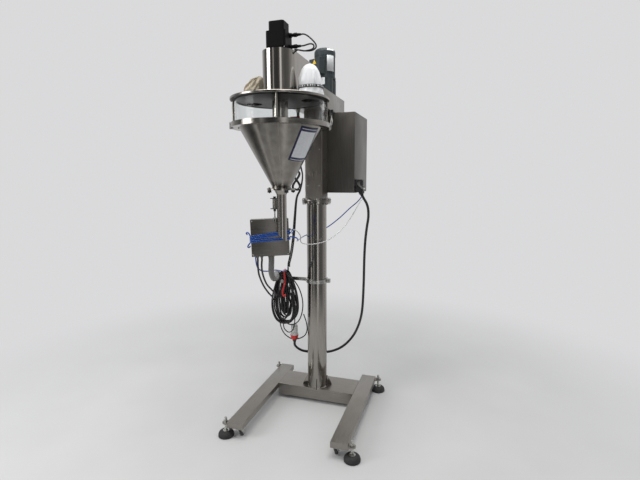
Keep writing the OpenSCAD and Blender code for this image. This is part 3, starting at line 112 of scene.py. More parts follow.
def add_cord(name, points, diameter, look, node, far_end="object", stiffness="medium",
             lay="hanging", **facts):
    """A round cord along points, standing for the CAD node, which it hides."""
    data = bpy.data.curves.new(name, "CURVE")
    data.dimensions = "3D"
    line = data.splines.new("POLY")
    line.points.add(len(points) - 1)
    for at, p in zip(line.points, points):
        at.co = (*p, 1)
    line.use_smooth = True
    data.bevel_depth = diameter / 2
    data.bevel_resolution = 3
    data.use_fill_caps = True
    data.materials.append(LOOKS[look])
    cord = add_object(name, data)
    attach(cord, "frame")
    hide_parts(node)


POWER_ROUTE = [
    (304.2, 100, 1511), (316, 100, 1489), (334, 103, 1458), (346, 106, 1415), (347, 109, 1355),
    (337, 111, 1285), (327, 112, 1190), (321, 114, 1060), (318, 116, 870), (310, 118, 690),
    (291, 118, 585), (256, 116, 495), (208, 113, 425), (150, 108, 372), (80, 100, 338),
    (10, 90, 325), (-48, 78, 326), (-92, 52, 333), (-128, 22, 350), (-153, -6, 377),
    (-166, -24, 404), (-168, -27, 419), (-168, -27, 433.5)]
AIR_ROUTE = [
    (235, 398, 1514), (235, 397, 1490), (208, 372, 1450), (158, 330, 1402), (92, 260, 1330),
    (25, 172, 1270), (-36, 118, 1243), (-76, 60, 1230), (-90, 0, 1225), (-84, -80, 1223),
    (-58, -200, 1228), (-24, -330, 1237), (20, -430, 1258), (34, -490, 1280), (22, -520, 1290),
    (8.7, -530, 1292.6)]
TAIL_ROUTE = [
    (-193.5, -590.5, 1258.6), (-192.5, -590, 1216), (-191, -587, 1170), (-189, -575, 1112),
    (-182, -535, 1078), (-176, -450, 1056), (-178, -330, 1038), (-186, -225, 1010),
    (-197, -145, 992), (-200, -116, 990), (-200, -98.5, 990)]
CLEAR_ROUTE = [
    (17.3, -544.7, 1338.1), (33, -537, 1337), (48, -527, 1328), (56, -510, 1312), (55, -480, 1290),
    (36, -430, 1262), (18, -370, 1236), (11, -290, 1214), (18, -200, 1198), (46, -120, 1193),
    (98, -62, 1208), (166, 0, 1262), (210, 90, 1330), (234, 200, 1402), (242, 320, 1455),
    (242, 395, 1470), (242, 424, 1488), (242, 430, 1514)]
BUNDLE_ROUTE = [
    (-80, -130, 2060), (-80, -130, 1990), (-80, -128, 1860), (-76, -124, 1740), (-60, -118, 1650),
    (-74, -124, 1560), (-100, -128, 1500), (-116, -122, 1380), (-132, -112, 1240),
    (-154, -96, 1130), (-176, -78, 1062), (-188, -68, 1030), (-190, -66, 1006.4)]
BOX_LEAD_A = [
    (-159.1, -623.6, 1175), (-158.6, -623.4, 1157.5), (-160, -622, 1130), (-165, -600, 1068),
    (-178, -520, 985), (-205, -390, 900), (-246, -240, 828), (-291, -122, 772), (-291, -98.5, 772)]
BOX_LEAD_B = [
    (-137.3, -613.5, 1175.7), (-136.9, -613.3, 1158.2), (-140, -613, 1132), (-144, -595, 1075),
    (-156, -520, 995), (-180, -390, 920), (-218, -240, 850), (-266, -122, 790), (-266, -98.5, 790)]
CONDUIT_ROUTE = [
    (-87.5, -590.2, 1177.1), (-87, -590, 1155.6), (-89.5, -589, 1120), (-96, -575, 1078),
    (-114, -510, 1030), (-146, -400, 1000), (-190, -280, 985), (-238, -180, 974),
    (-261, -128, 968), (-262, -112, 968), (-262, -98.5, 968)]
SERVO_LEAD_A = [
    (117, 18, 2381.7), (133, 18, 2381.5), (150, 20, 2374), (168, 24, 2360), (184, 30, 2344),
    (194, 38, 2328), (190, 47, 2316), (172, 56, 2309), (150, 61, 2308), (120, 66, 2312),
    (96, 68, 2318), (80, 70, 2321), (70, 70.5, 2317), (67, 70, 2312), (67, 70, 2306.5)]
SERVO_LEAD_B = [
    (117, 18, 2323.7), (133, 18, 2324), (152, 19, 2328), (170, 22, 2331), (183, 27, 2327),
    (185, 31, 2318), (176, 38, 2310), (152, 46, 2307), (120, 52, 2308), (90, 55, 2316),
    (72, 58, 2320), (62, 60, 2317), (57, 60, 2312), (57, 60, 2306.5)]


# ---- Materials ----

def add_node(tree, kind, inputs=None, **settings):
    """A shader node with its settings, and its inputs set or linked."""
    made = tree.nodes.new("ShaderNode" + kind)
    for key, value in settings.items():
        setattr(made, key, value)
    for key, value in (inputs or {}).items():
        if isinstance(value, bpy.types.NodeSocket):
            tree.links.new(value, made.inputs[key])
        else:
            made.inputs[key].default_value = value
    return made


def new_material(name, **sockets):
    """A material with its node tree and Principled shader; sockets are named with _ for spaces."""
    material = bpy.data.materials.new(name)
    material.use_nodes = True
    shader = material.node_tree.nodes["Principled BSDF"]
    for key, value in sockets.items():
        shader.inputs[key.replace("_", " ")].default_value = value
    return material, material.node_tree, shader


def grain(tree, scale, stretch=(1, 1, 1), detail=3.0):
    """Noise over the object, stretched along its axes."""
    place = add_node(tree, "TexCoord").outputs["Object"]
    mapped = add_node(tree, "Mapping", {"Vector": place, "Scale": stretch}).outputs[0]
    inputs = {"Vector": mapped, "Scale": scale, "Detail": detail}
    return add_node(tree, "TexNoise", inputs).outputs[0]


def between(tree, value, low=0, high=1, start=0.3, end=0.7, **settings):
    """The value mapped from start..end to low..high."""
    inputs = {"Value": value, "From Min": start, "From Max": end, "To Min": low, "To Max": high}
    return add_node(tree, "MapRange", inputs, **settings).outputs[0]


def mixed(tree, factor, first, second):
    """Two colours mixed; each is a socket or an rgb."""
    mix = add_node(tree, "Mix", data_type="RGBA", clamp_factor=True)
    for socket, value in ((mix.inputs[0], factor), (mix.inputs[6], first), (mix.inputs[7], second)):
        if isinstance(value, bpy.types.NodeSocket):
            tree.links.new(value, socket)
        else:
            socket.default_value = value if isinstance(value, (int, float)) else (*value, 1)
    return mix.outputs[2]


def surface(name, dark, light, rough, scale=60, stretch=(1, 1, 1), depth=0.0002, strength=0.3,
            blotch=5, blotch_mix=0.25, **sockets):
    """A finish with fine grain, larger stains, a varying roughness and a slight relief."""
    material, tree, shader = new_material(name, **sockets)
    fine = grain(tree, scale, stretch)
    stains = grain(tree, blotch, detail=5.0)
    colour = mixed(tree, between(tree, fine), dark, light)
    shade = tuple(c * 0.72 for c in dark)
    colour = mixed(tree, between(tree, stains, 0, blotch_mix), colour, shade)
    tree.links.new(colour, shader.inputs["Base Color"])
    both = add_node(tree, "Math", {0: fine, 1: stains}, operation="ADD").outputs[0]
    half = add_node(tree, "Math", {0: both, 1: 0.5}, operation="MULTIPLY").outputs[0]
    tree.links.new(between(tree, half, *rough), shader.inputs["Roughness"])
    bump = add_node(tree, "Bump", {"Height": fine, "Strength": strength, "Distance": depth})
    tree.links.new(bump.outputs[0], shader.inputs["Normal"])
    return material


STEEL_DARK = (0.29, 0.27, 0.245)
STEEL_LIGHT = (0.40, 0.38, 0.35)


def steel(name, stretch, rough, tone, scale=10, **facts):
    """Stainless steel, brushed along the axis where stretch is 1; a higher tone is lighter."""
    dark, light = (tuple(c * tone for c in colour) for colour in (STEEL_DARK, STEEL_LIGHT))
    return surface(name, dark, light, rough, scale=scale, stretch=stretch, Metallic=1.0, **facts)


EVEN = (1, 1, 1)
UPRIGHT = (60, 60, 1)
LEVEL = (1, 1, 60)
ALONG_X = (1, 60, 60)
ALONG_Y = (60, 1, 60)
LOOKS = {
    "column": steel("column_steel", UPRIGHT, (0.10, 0.20), 1.0, Anisotropic=0.3),
    "stand": steel("stand_steel", ALONG_Y, (0.26, 0.42), 0.95),
    "cross": steel("cross_steel", ALONG_X, (0.26, 0.42), 0.95),
    "arm": steel("arm_steel", UPRIGHT, (0.24, 0.36), 0.78),
    "cover": steel("cover_steel", UPRIGHT, (0.07, 0.14), 1.1, depth=0.00005),
    "cone": steel("cone_steel", EVEN, (0.17, 0.26), 0.82, scale=30, depth=0.00002, strength=0.1),
    "lid": steel("lid_steel", EVEN, (0.14, 0.28), 0.90, scale=40),
    # The lid's underside: the same steel made much darker, as painted shade under the lid.
    "lid_painted_shade": steel("lid_steel_painted_shade", EVEN, (0.38, 0.55), 0.26, scale=30, blotch_mix=0.5),
    "cabinet": steel("cabinet_steel", UPRIGHT, (0.34, 0.50), 0.46),
    "box": steel("box_steel", LEVEL, (0.32, 0.46), 0.56),
    "turned": steel("turned_steel", (1, 1, 140), (0.12, 0.24), 1.1),
    "weld": steel("weld_steel", EVEN, (0.25, 0.40), 1.25, scale=400),
    "fastener": surface("zinc", (0.46, 0.46, 0.44), (0.62, 0.61, 0.58), (0.20, 0.36), 120,
                        Metallic=1.0),
    "pulley": surface("pulley_aluminium", (0.56, 0.56, 0.56), (0.70, 0.70, 0.70), (0.28, 0.42),
                      160, Metallic=1.0),
    "gearbox": surface("gearbox_paint", (0.026, 0.033, 0.036), (0.042, 0.052, 0.055), (0.38, 0.55),
                       260, Specular_IOR_Level=0.35),
    "motor": surface("motor_paint", (0.024, 0.032, 0.036), (0.042, 0.054, 0.058), (0.40, 0.58),
                     260, Specular_IOR_Level=0.35),
    "servo": surface("servo_paint", (0.0035, 0.0035, 0.0038), (0.008, 0.008, 0.009), (0.40, 0.55),
                     420, depth=0.0001, strength=0.25, Specular_IOR_Level=0.12),
    "plastic": surface("black_plastic", (0.010, 0.010, 0.011), (0.024, 0.024, 0.025), (0.36, 0.52),
                       500),
    "rubber": surface("black_rubber", (0.014, 0.014, 0.014), (0.036, 0.035, 0.034), (0.55, 0.78),
                      180, depth=0.0003, blotch=14),
    "tyre": surface("tyre", (0.030, 0.030, 0.030), (0.060, 0.058, 0.055), (0.55, 0.75), 200),
    "belt": surface("belt_rubber", (0.016, 0.016, 0.016), (0.034, 0.034, 0.034), (0.6, 0.8), 240),
    "gasket": surface("gasket_rubber", (0.020, 0.020, 0.020), (0.045, 0.044, 0.043), (0.5, 0.7),
                      200),
    "cable": surface("cable_jacket", (0.010, 0.010, 0.011), (0.022, 0.022, 0.023), (0.36, 0.50),
                     300, depth=0.0001, blotch=20),
    "conduit": surface("grey_conduit", (0.13, 0.13, 0.125), (0.20, 0.20, 0.19), (0.30, 0.44), 160),
    "blue_hose": surface("blue_hose", (0.012, 0.075, 0.36), (0.022, 0.12, 0.50), (0.16, 0.28), 90,
                         depth=0.0001, Coat_Weight=0.4),
    "clear_hose": surface("clear_hose", (0.84, 0.86, 0.85), (0.92, 0.93, 0.92), (0.14, 0.26),
                          depth=0.0001, Transmission_Weight=0.25, IOR=1.45),
    "acrylic": surface("acrylic", (0.93, 0.95, 0.95), (0.97, 0.98, 0.98), (0.0, 0.02), 30,
                       depth=0.00001, strength=0.05, blotch_mix=0.05, Transmission_Weight=1.0,
                       IOR=1.16),
    "red_grip": surface("red_grip", (0.36, 0.014, 0.016), (0.52, 0.028, 0.026), (0.30, 0.44), 260),
    "red_plastic": surface("red_plastic", (0.50, 0.022, 0.020), (0.66, 0.036, 0.030), (0.26, 0.40),
                           200),
    "pale_plastic": surface("pale_plastic", (0.62, 0.62, 0.60), (0.76, 0.76, 0.74), (0.20, 0.34),
                            120, Transmission_Weight=0.25),
    "strap": surface("red_strap", (0.42, 0.018, 0.022), (0.60, 0.045, 0.045), (0.30, 0.45), 700,
                     depth=0.0001),
    "strap_black": surface("black_strap", (0.010, 0.010, 0.011), (0.030, 0.030, 0.031), (0.6, 0.8),
                           900),
    "paper": surface("white_paper", (0.66, 0.68, 0.70), (0.78, 0.80, 0.82), (0.30, 0.45), 80,
                     depth=0.00003),
    "navy": surface("navy_border", (0.010, 0.014, 0.060), (0.020, 0.026, 0.090), (0.30, 0.45), 90,
                    depth=0.00003),
    "yellow": surface("yellow_sign", (0.66, 0.42, 0.02), (0.80, 0.54, 0.04), (0.35, 0.5), 90,
                      depth=0.00003),
    "white_cloth": surface("white_cloth", (0.74, 0.75, 0.77), (0.86, 0.87, 0.88), (0.80, 0.95),
                           900, strength=0.5, blotch=14, blotch_mix=0.10, Sheen_Weight=0.3),
    "beige_cloth": surface("beige_cloth", (0.36, 0.31, 0.23), (0.50, 0.44, 0.34), (0.80, 0.95),
                           800, depth=0.0003, strength=0.6, blotch=16, blotch_mix=0.22,
                           Sheen_Weight=0.3),
}

# The CAD nodes of each look. The feet, wheels, levers, lid, cylinder and plug have two or three.
STOCK = {
    "stand": ["left_leg", "right_leg"],
    "cross": ["cross_member"],
    "column": ["column"],
    "arm": ["mast_housing", "arm_housing"],
    "cover": ["motor_cover"],
    "cone": ["hopper"],
    "lid": ["ring_frame"],
    "cabinet": ["cabinet", "cabinet_door"],
    "box": ["control_box", "box_cover"],
    "turned": ["bearing_sleeve", "filling_tube", "stirrer", "auger"],
    "fastener": ["frame_fasteners", "cable_hanger", "latch_bases", "latch_loop_right",
                 "latch_loop_rear", "gate_rod", "connector_lever"],
    "pulley": ["motor_pulley"],
    "gearbox": ["gearbox"],
    "motor": ["gear_motor"],
    "servo": ["servo_motor"],
    "plastic": ["outlet_clamp", "door_lock", "power_connector"],
    "belt": ["drive_belt"],
    "gasket": ["ring_gaskets"],
    "acrylic": ["sight_ring"],
}
CORNERS = ("front_left", "front_right", "rear_left", "rear_right")


def paint(node, names, choose=None):
    """Gives a CAD node its materials; choose returns the material's number from a face's centre."""
    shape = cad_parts[node]
    shape.data.materials.clear()
    for name in names:
        shape.data.materials.append(LOOKS[name])
    for face in shape.data.polygons:
        face.material_index = choose(face.center) if choose else 0


for look, nodes in STOCK.items():
    for node in nodes:
        paint(node, [look])
# The lid plate's bottom faces take the darker steel: painted shade under the lid.
paint("lid_plate", ["lid", "lid_painted_shade"], lambda c: int(c.z < LID_LOW.z + 0.001))
CYLINDER_LOW, CYLINDER_TOP = (end.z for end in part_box("gate_cylinder"))
GATE_CAP = 0.0165
paint("gate_cylinder", ["turned", "plastic"],
      lambda c: int(c.z < CYLINDER_LOW + GATE_CAP or c.z > CYLINDER_TOP - GATE_CAP))
PAD_TOP = 0.0395
WHEEL_HUB_R = 0.0165
for corner in CORNERS:
    paint("caster_fork_" + corner, ["fastener"])
    paint("foot_" + corner, ["rubber", "fastener"], lambda c: int(c.z > PAD_TOP))
    wheel = "caster_wheel_" + corner
    hub = middle(wheel)
    paint(wheel, ["tyre", "plastic"],
          lambda c, hub=hub: int(hypot(c.y - hub.y, c.z - hub.z) < WHEEL_HUB_R))
GRIP_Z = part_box("latch_lever_right")[1].z - 0.0265
for side, grip in (("right", "plastic"), ("rear", "red_grip")):
    paint("latch_lever_" + side, ["fastener", grip], lambda c: int(c.z > GRIP_Z))
PLUG_Z = COLUMN.z + 0.434
PLUG_BOOT, PLUG_BODY = PLUG_Z + 0.0179, PLUG_Z + 0.0559
paint("mains_plug", ["plastic", "red_plastic", "pale_plastic"],
      lambda c: 0 if c.z < PLUG_BOOT else 1 if c.z < PLUG_BODY else 2)


def soften(node, width):
    """Smooth shading with hard edges, and a slight round on the corners where width is given."""
    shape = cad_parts[node]
    for face in shape.data.polygons:
        face.use_smooth = True
    weld = shape.modifiers.new("weld", "WELD")
    weld.merge_threshold = 0.00001
    if width:
        bevel = shape.modifiers.new("round", "BEVEL")
        bevel.width = width
        bevel.segments = 2
        bevel.limit_method = "ANGLE"
        bevel.angle_limit = radians(40)
    edges = shape.modifiers.new("edges", "EDGE_SPLIT")
    edges.split_angle = radians(32)


ROUNDED = {"left_leg": 0.0012, "right_leg": 0.0012, "cross_member": 0.0012, "arm_housing": 0.0012,
           "mast_housing": 0.0008, "cabinet": 0.0008, "cabinet_door": 0.0012, "box_cover": 0.001,
           "control_box": 0.001}
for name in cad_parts:
    soften(name, ROUNDED.get(name, 0))


# ---- Helpers for new pieces ----

def add_mesh(name, vertices, faces, look, smooth=True, thick=0.0):
    """A mesh piece on the frame, made thicker outwards where thick is given."""
    mesh = bpy.data.meshes.new(name)
    mesh.from_pydata([tuple(v) for v in vertices], [], faces)
    mesh.validate()
    mesh.update()
    mesh.materials.append(LOOKS[look])
    for face in mesh.polygons:
        face.use_smooth = smooth
    piece = add_object(name, mesh)
    if thick:
        shell = piece.modifiers.new("thickness", "SOLIDIFY")
        shell.thickness = thick
        shell.offset = 1
    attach(piece, "frame")
    return piece


def ring_faces(rows, count):
    """The faces between rows of count points, where each row is a closed ring."""
    faces = []
    for r in range(rows - 1):
        for k in range(count):
            n = (k + 1) % count
            faces.append((r * count + k, r * count + n, (r + 1) * count + n, (r + 1) * count + k))
    return faces


def strip_faces(rows, count):
    """The faces between open rows of count points."""
    return [(r * count + k, r * count + k + 1, (r + 1) * count + k + 1, (r + 1) * count + k)
            for r in range(rows - 1) for k in range(count - 1)]


def around(centre, radius, angle, height):
    """A point round the upright axis through centre."""
    return centre + Vector((radius * cos(angle), radius * sin(angle), height))


def ring_at(centre, radius, height, count):
    """A level ring of points round the centre."""
    return [around(centre, radius, tau * k / count, height) for k in range(count)]


# ---- Cords on the frame ----

add_cord("power_cord", smooth_route(at(POWER_ROUTE)), 0.018, "cable", "power_cable",
         "plug", "stiff", with_pieces=[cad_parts["mains_plug"]])
for name, route, width, look, node in (
        ("air_line", AIR_ROUTE, 0.008, "blue_hose", "air_hose"),
        ("air_tail", TAIL_ROUTE, 0.008, "blue_hose", "air_hose"),
        ("clear_line", CLEAR_ROUTE, 0.006, "clear_hose", "clear_hose"),
        ("box_lead_1", BOX_LEAD_A, 0.011, "cable", "signal_leads"),
        ("box_lead_2", BOX_LEAD_B, 0.011, "cable", "signal_leads"),
        ("box_conduit", CONDUIT_ROUTE, 0.034, "conduit", "signal_leads")):
    add_cord(name, smooth_route(at(route)), width, look, node)
for name, route in (("servo_lead_1", SERVO_LEAD_A), ("servo_lead_2", SERVO_LEAD_B)):
    add_cord(name, smooth_route(at(route, AXIS), 0.005), 0.008, "cable", "signal_leads")


def heading(points, k):
    """The direction of a line at its point k."""
    return (points[min(k + 1, len(points) - 1)] - points[max(k - 1, 0)]).normalized()


def side_by_side(points, gap):
    """Two lines along the points, gap apart, that turn slowly round each other."""
    pair = ([], [])
    for k, p in enumerate(points):
        turning = Vector((sin(k * 0.035), cos(k * 0.035), 0.2))
        across = heading(points, k).cross(turning).normalized()
        pair[0].append(p + across * gap / 2)
        pair[1].append(p - across * gap / 2)
    return pair


MAST_LEADS = side_by_side(smooth_route(at(BUNDLE_ROUTE)), 0.0104)
for number, line in enumerate(MAST_LEADS, 1):
    add_cord("mast_lead_%d" % number, line, 0.010, "cable", "signal_leads")


# ---- Coiled cable on the peg ----

HANK_LOW, HANK_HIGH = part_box("cable_hank")
HANK = Vector(((HANK_LOW.x + HANK_HIGH.x) / 2, 0, 0))
PEG_Z = COLUMN.z + 0.908
PEG_KEEP = 0.0145              # how near a cable's middle comes to the peg's
CABLE_D = 0.0112
COIL_TURNS, COIL_STEPS = 16, 80
LAYERS, FIRST_LAYER, LAYER_STEP = 6, 0.0085, 0.0132
# Of each layer's inner, middle and outer ring: the reach to each side, how much the right one
# varies, and the height of the bottom in the coil's box.
RING_LEFT = (0.030, 0.070, 0.104)
RING_RIGHT = (0.016, 0.044, 0.100)
RIGHT_VARIES = ((-0.010, 0.008), (-0.016, 0.010), (-0.032, 0.014))
RING_BOTTOM = (0.085, 0.046, 0.012)


def coil_route():
    """Turns of cable that hang from the peg, dense on the left and spread on the right."""
    rings = ((0, 1, 2), (2, 1, 0))
    slots = [(layer, ring) for layer in range(LAYERS) for ring in rings[layer % 2]]
    chosen = [slots[round(k * (len(slots) - 1) / (COIL_TURNS - 1))] for k in range(COIL_TURNS)]
    shapes = []
    for layer, ring in chosen:
        shapes.append((
            HANK_HIGH.y - FIRST_LAYER - layer * LAYER_STEP,
            RING_LEFT[ring] + random.uniform(-0.012, 0.008),
            RING_RIGHT[ring] + random.uniform(*RIGHT_VARIES[ring]),
            PEG_Z + 0.020 + ring * 0.020 + 0.012 * random.random(),
            HANK_LOW.z + RING_BOTTOM[ring] + 0.018 * random.random()))
    route = []
    for k in range(COIL_TURNS * COIL_STEPS):
        turn, part = divmod(k, COIL_STEPS)
        here = shapes[turn]
        after = shapes[min(turn + 1, COIL_TURNS - 1)]
        # The last 30% of a turn leads over to the next one.
        blend = max(0.0, (part / COIL_STEPS - 0.70) / 0.30)
        blend = blend * blend * (3 - 2 * blend)
        y, left, right, top, bottom = (a + (b - a) * blend for a, b in zip(here, after))
        angle = 0.35 - tau * part / COIL_STEPS
        side, high = sin(angle), cos(angle)
        width = (right if side > 0 else left) * (0.80 - 0.26 * high)
        x = HANK.x + width * side * (1 + 0.12 * (1 - abs(side)))
        z = (top + bottom) / 2 + (top - bottom) / 2 * high
        sway = 0.0034 * sin(2 * angle + 1.7 * turn) + 0.002 * sin(5 * angle + turn)
        route.append(Vector((x + 0.8 * sway, y + sway, z)))
    return route


def relax(points, gap, low, high):
    """Pushes apart what lies closer than gap along different stretches, and keeps the line even."""
    rounds, skip = 70, 6
    count = len(points)
    rest = [(b - a).length for a, b in zip(points, points[1:])]
    for _ in range(rounds):
        tree = KDTree(count)
        for k, p in enumerate(points):
            tree.insert(p, k)
        tree.balance()
        push = [Vector((0, 0, 0)) for _ in points]
        for k, p in enumerate(points):
            for other, n, dist in tree.find_range(p, gap):
                if abs(n - k) > skip:
                    away = p - other if dist > 1e-6 else Vector((0, 1e-5, 0))
                    push[k] += away.normalized() * (gap - dist) * 0.45
        points = [p + d for p, d in zip(points, push)]
        eased = (b + ((a + c) / 2 - b) * 0.12 for a, b, c in zip(points, points[1:], points[2:]))
        points = [points[0], *eased, points[-1]]
        for k in range(count - 1):
            span = points[k + 1] - points[k]
            fix = span.normalized() * (span.length - rest[k]) * 0.25
            points[k] = points[k] + fix
            points[k + 1] = points[k + 1] - fix
        for k, p in enumerate(points):
            from_peg = Vector((p.x - HANK.x, 0, p.z - PEG_Z))
            if from_peg.length < PEG_KEEP:
                p = p + from_peg.normalized() * (PEG_KEEP - from_peg.length)
            points[k] = Vector([min(max(v, a), b) for v, a, b in zip(p, low, high)])
    return points


def add_coil():
    edge = Vector((1, 1, 1)) * (CABLE_D / 2 + 0.0006)
    route = coil_route()
    start = MAST_LEADS[0][-1] + Vector((0, 0, -0.002))
    route = [start + (route[0] - start) * k / 6 for k in range(6)] + route
    route = relax(route, CABLE_D + 0.0012, HANK_LOW + edge, HANK_HIGH - edge)
    add_cord("signal_coil", route, CABLE_D, "cable", "cable_hank", lay="coiled")


add_coil()

SLACK = (
    ("slack_1", 0.008, [
        (-286, -34, 640), (-280, -40, 604), (-275, -42, 572), (-264, -42, 528), (-240, -42, 490),
        (-204, -42, 466), (-170, -44, 458), (-132, -44, 466), (-98, -40, 482), (-76, -34, 505),
        (-70, -22, 540), (-78, -18, 590), (-96, -24, 650)]),
    ("slack_2", 0.0075, [
        (-244, -58, 640), (-241, -60, 600), (-240, -62, 566), (-233, -64, 540), (-216, -66, 524),
        (-198, -70, 518), (-178, -72, 524), (-160, -72, 545), (-150, -70, 585), (-148, -66, 640)]),
    ("slack_3", 0.008, [
        (-232, -88, 936), (-196, -90, 944), (-160, -90, 930), (-128, -88, 896), (-102, -86, 850),
        (-84, -84, 790), (-80, -82, 730), (-90, -80, 670), (-110, -78, 622), (-140, -76, 592),
        (-180, -76, 580), (-216, -78, 592)]))
for name, width, points in SLACK:
    add_cord(name, smooth_route(at(points)), width, "cable", "cable_hank")


def add_lead_loops():
    """The spare length of a mast lead, folded in a hanging figure of eight beside the mast."""
    loops_mid = at([(-90, -188, 1619)])[0]
    route = []
    for k in range(65):
        a = pi * (5.0 - 4.0 * k / 64)
        size = 1 + 0.06 * sin(a * 0.6)
        out = Vector((0.025 * size * sin(2 * a), 0.0105 * a / pi, -0.062 * size * cos(a)))
        route.append(loops_mid + out)
    start = min(MAST_LEADS[0], key=lambda p: abs(p.z - route[0].z - 0.020))
    end = min(MAST_LEADS[0], key=lambda p: abs(p.z - route[-1].z - 0.060))
    rise = Vector((0, 0, 0.014))
    route = [start, (start + route[0]) / 2 + rise, *route, (route[-1] + end) / 2 + rise, end]
    add_cord("lead_loops", smooth_route(route, 0.02), 0.009, "cable", "signal_leads",
             stiffness="limp", lay="coiled")


add_lead_loops()

BAND_ROUTE = [
    (-212, -86, 992), (-211, -98, 990), (-210, -103.5, 976), (-208, -105.5, 940),
    (-207, -106, 906), (-213, -106, 872), (-222, -106.5, 842), (-224, -107, 816),
    (-218, -107, 799), (-209, -106.5, 799), (-205, -105, 812)]
BAND_W = 0.014


def add_band():
    """The red strap that ties the coil: a flat band that hangs down its front."""
    line = smooth_route(at(BAND_ROUTE), 0.006)
    vertices = []
    for k, p in enumerate(line):
        across = heading(line, k).cross(Vector((0, 1, 0.02))).normalized()
        width = BAND_W / 2 * (1 + 0.12 * sin(k * 0.7))
        vertices += [p - across * width, p + Vector((0, -0.0012, 0)), p + across * width]
    strap = add_mesh("tie_strap", vertices, strip_faces(len(line), 3), "strap", thick=0.0014)


add_band()


# ---- Hose wound round the control box ----

BOX_MID = at([(-76.89, -625.02, 1295.5)])[0]
BOX_TURN = Matrix.Rotation(radians(25), 3, "Z") @ Matrix.Rotation(radians(-1.5), 3, "Y")
BOX_W, BOX_D, BOX_H = 0.218, 0.076, 0.214
HOSE_D = 0.008


def in_box(x, y, z):
    """A point of the control box's own frame, in metres, its face at y 0."""
    return BOX_MID + BOX_TURN @ Vector((x, y, z))


def add_wrap():
    """Five turns of hose: side by side at the left edge, spread at the right."""
    off = HOSE_D / 2 + 0.0006
    half, back = BOX_W / 2 + off, BOX_D + off
    inner = half - 0.016
    ninths = [step / 9 for step in range(10)]
    left = [0.0145, 0.0058, -0.0029, -0.0116, -0.0203]
    right = [0.0360, 0.0272, 0.0184, -0.0040, -0.0128]
    stops = [(-half - 0.017, 0.046, left[0] + 0.004), (-half - 0.022, 0.038, left[0] + 0.013),
             (-half - 0.014, 0.030, left[0] + 0.018), (-half - 0.005, 0.026, left[0] + 0.010),
             (-half - 0.001, 0.018, left[0] + 0.001)]
    for begin, end, following in zip(left, right, [*left[1:], left[4] - 0.006]):
        level = end + (begin - end) * 0.6
        stops += [(-half, 0.008, begin), (-half + 0.003, -off + 0.001, begin)]
        stops += [(2 * inner * t - inner, -off, begin + (end - begin) * t) for t in ninths]
        stops += [(half - 0.003, -off + 0.001, end), (half, 0.008, end)]
        stops += [(half, BOX_D * t, end + (begin - end) * t * 0.6) for t in (0.35, 0.65)]
        stops += [(half, BOX_D - 0.006, level), (half - 0.003, back - 0.001, level)]
        stops += [(inner - 2 * inner * t, back, level + (following - level) * t) for t in ninths]
        stops += [(-half + 0.003, back - 0.001, following), (-half, BOX_D - 0.006, following)]
        stops += [(-half, BOX_D * (1 - t), following) for t in (0.35, 0.65)]
    stops += [(-half - 0.004, 0.018, left[4] - 0.010), (-half - 0.013, 0.014, left[4] - 0.020),
              (-half - 0.016, 0.020, left[4] - 0.031), (-half - 0.008, 0.027, left[4] - 0.034),
              (-half - 0.002, 0.033, left[4] - 0.027)]
    hook = [(half - 0.012, -off - 0.0088, 0.018), (half + 0.003, -off - 0.004, 0.024),
            (half + 0.012, 0.004, 0.033), (half + 0.018, 0.011, 0.040),
            (half + 0.022, 0.016, 0.034), (half + 0.020, 0.018, 0.024),
            (half + 0.012, 0.020, 0.017)]
    for name, line, step, width, lay in (("box_wrap", stops, 0.006, HOSE_D, "coiled"),
                                         ("wrap_end", hook, 0.004, 0.006, "loose")):
        route = smooth_route([in_box(*stop) for stop in line], step)
        add_cord(name, route, width, "blue_hose", "hose_wrap", "bare", lay=lay)


add_wrap()


# ---- Soft goods ----

def add_cloth(name, rows, look):
    """An open cloth shell from rows of points, each a closed ring; a fan closes the last row."""
    count = len(rows[0])
    vertices = [p for row in rows for p in row]
    last = len(vertices) - count
    faces = ring_faces(len(rows), count)
    faces += [(last + k, last + (k + 1) % count, last + count) for k in range(count)]
    vertices.append(sum(rows[-1], Vector((0, 0, 0))) / count)
    return add_mesh(name, vertices, faces, look)


def add_form(profile, centre, lean=None):
    """A hidden body for the cloth to fall on; it is taken away afterwards."""
    count = 40
    vertices = []
    for radius, height in profile:
        shift = lean(height) if lean else Vector((0, 0, 0))
        vertices += ring_at(centre + shift, radius, height, count)
    faces = ring_faces(len(profile), count)
    faces.append(tuple(range(len(vertices) - count, len(vertices))))
    mesh = bpy.data.meshes.new("form")
    mesh.from_pydata([tuple(v) for v in vertices], [], faces)
    form = add_object("form", mesh)
    form.modifiers.new("collision", "COLLISION")
    form.collision.thickness_outer = 0.0015
    form.collision.cloth_friction = 12
    return form


def drape(piece, pins, form, frames, bending, self_gap):
    """Lets the cloth fall and keeps the result; pins gives each vertex its hold from 0 to 1."""
    group = piece.vertex_groups.new(name="pins")
    for index, hold in pins.items():
        group.add([index], hold, "REPLACE")
    cloth = piece.modifiers.new("cloth", "CLOTH")
    rules = cloth.settings
    rules.quality = 7
    rules.mass = 0.12
    rules.tension_stiffness = 18
    rules.compression_stiffness = 12
    rules.shear_stiffness = 6
    rules.bending_stiffness = bending
    rules.vertex_group_mass = "pins"
    rules.pin_stiffness = 1.0
    rules.air_damping = 1.5
    touch = cloth.collision_settings
    touch.distance_min = 0.0015
    touch.use_self_collision = True
    touch.self_distance_min = self_gap
    touch.collision_quality = 3
    cloth.point_cache.frame_start = 1
    cloth.point_cache.frame_end = frames
    scene = bpy.context.scene
    for number in range(1, frames + 1):
        scene.frame_set(number)
    graph = bpy.context.evaluated_depsgraph_get()
    fallen = bpy.data.meshes.new_from_object(piece.evaluated_get(graph))
    piece.modifiers.remove(cloth)
    piece.vertex_groups.clear()
    piece.data = fallen
    scene.frame_set(1)
    bpy.data.objects.remove(form, do_unlink=True)
    for face in piece.data.polygons:
        face.use_smooth = True


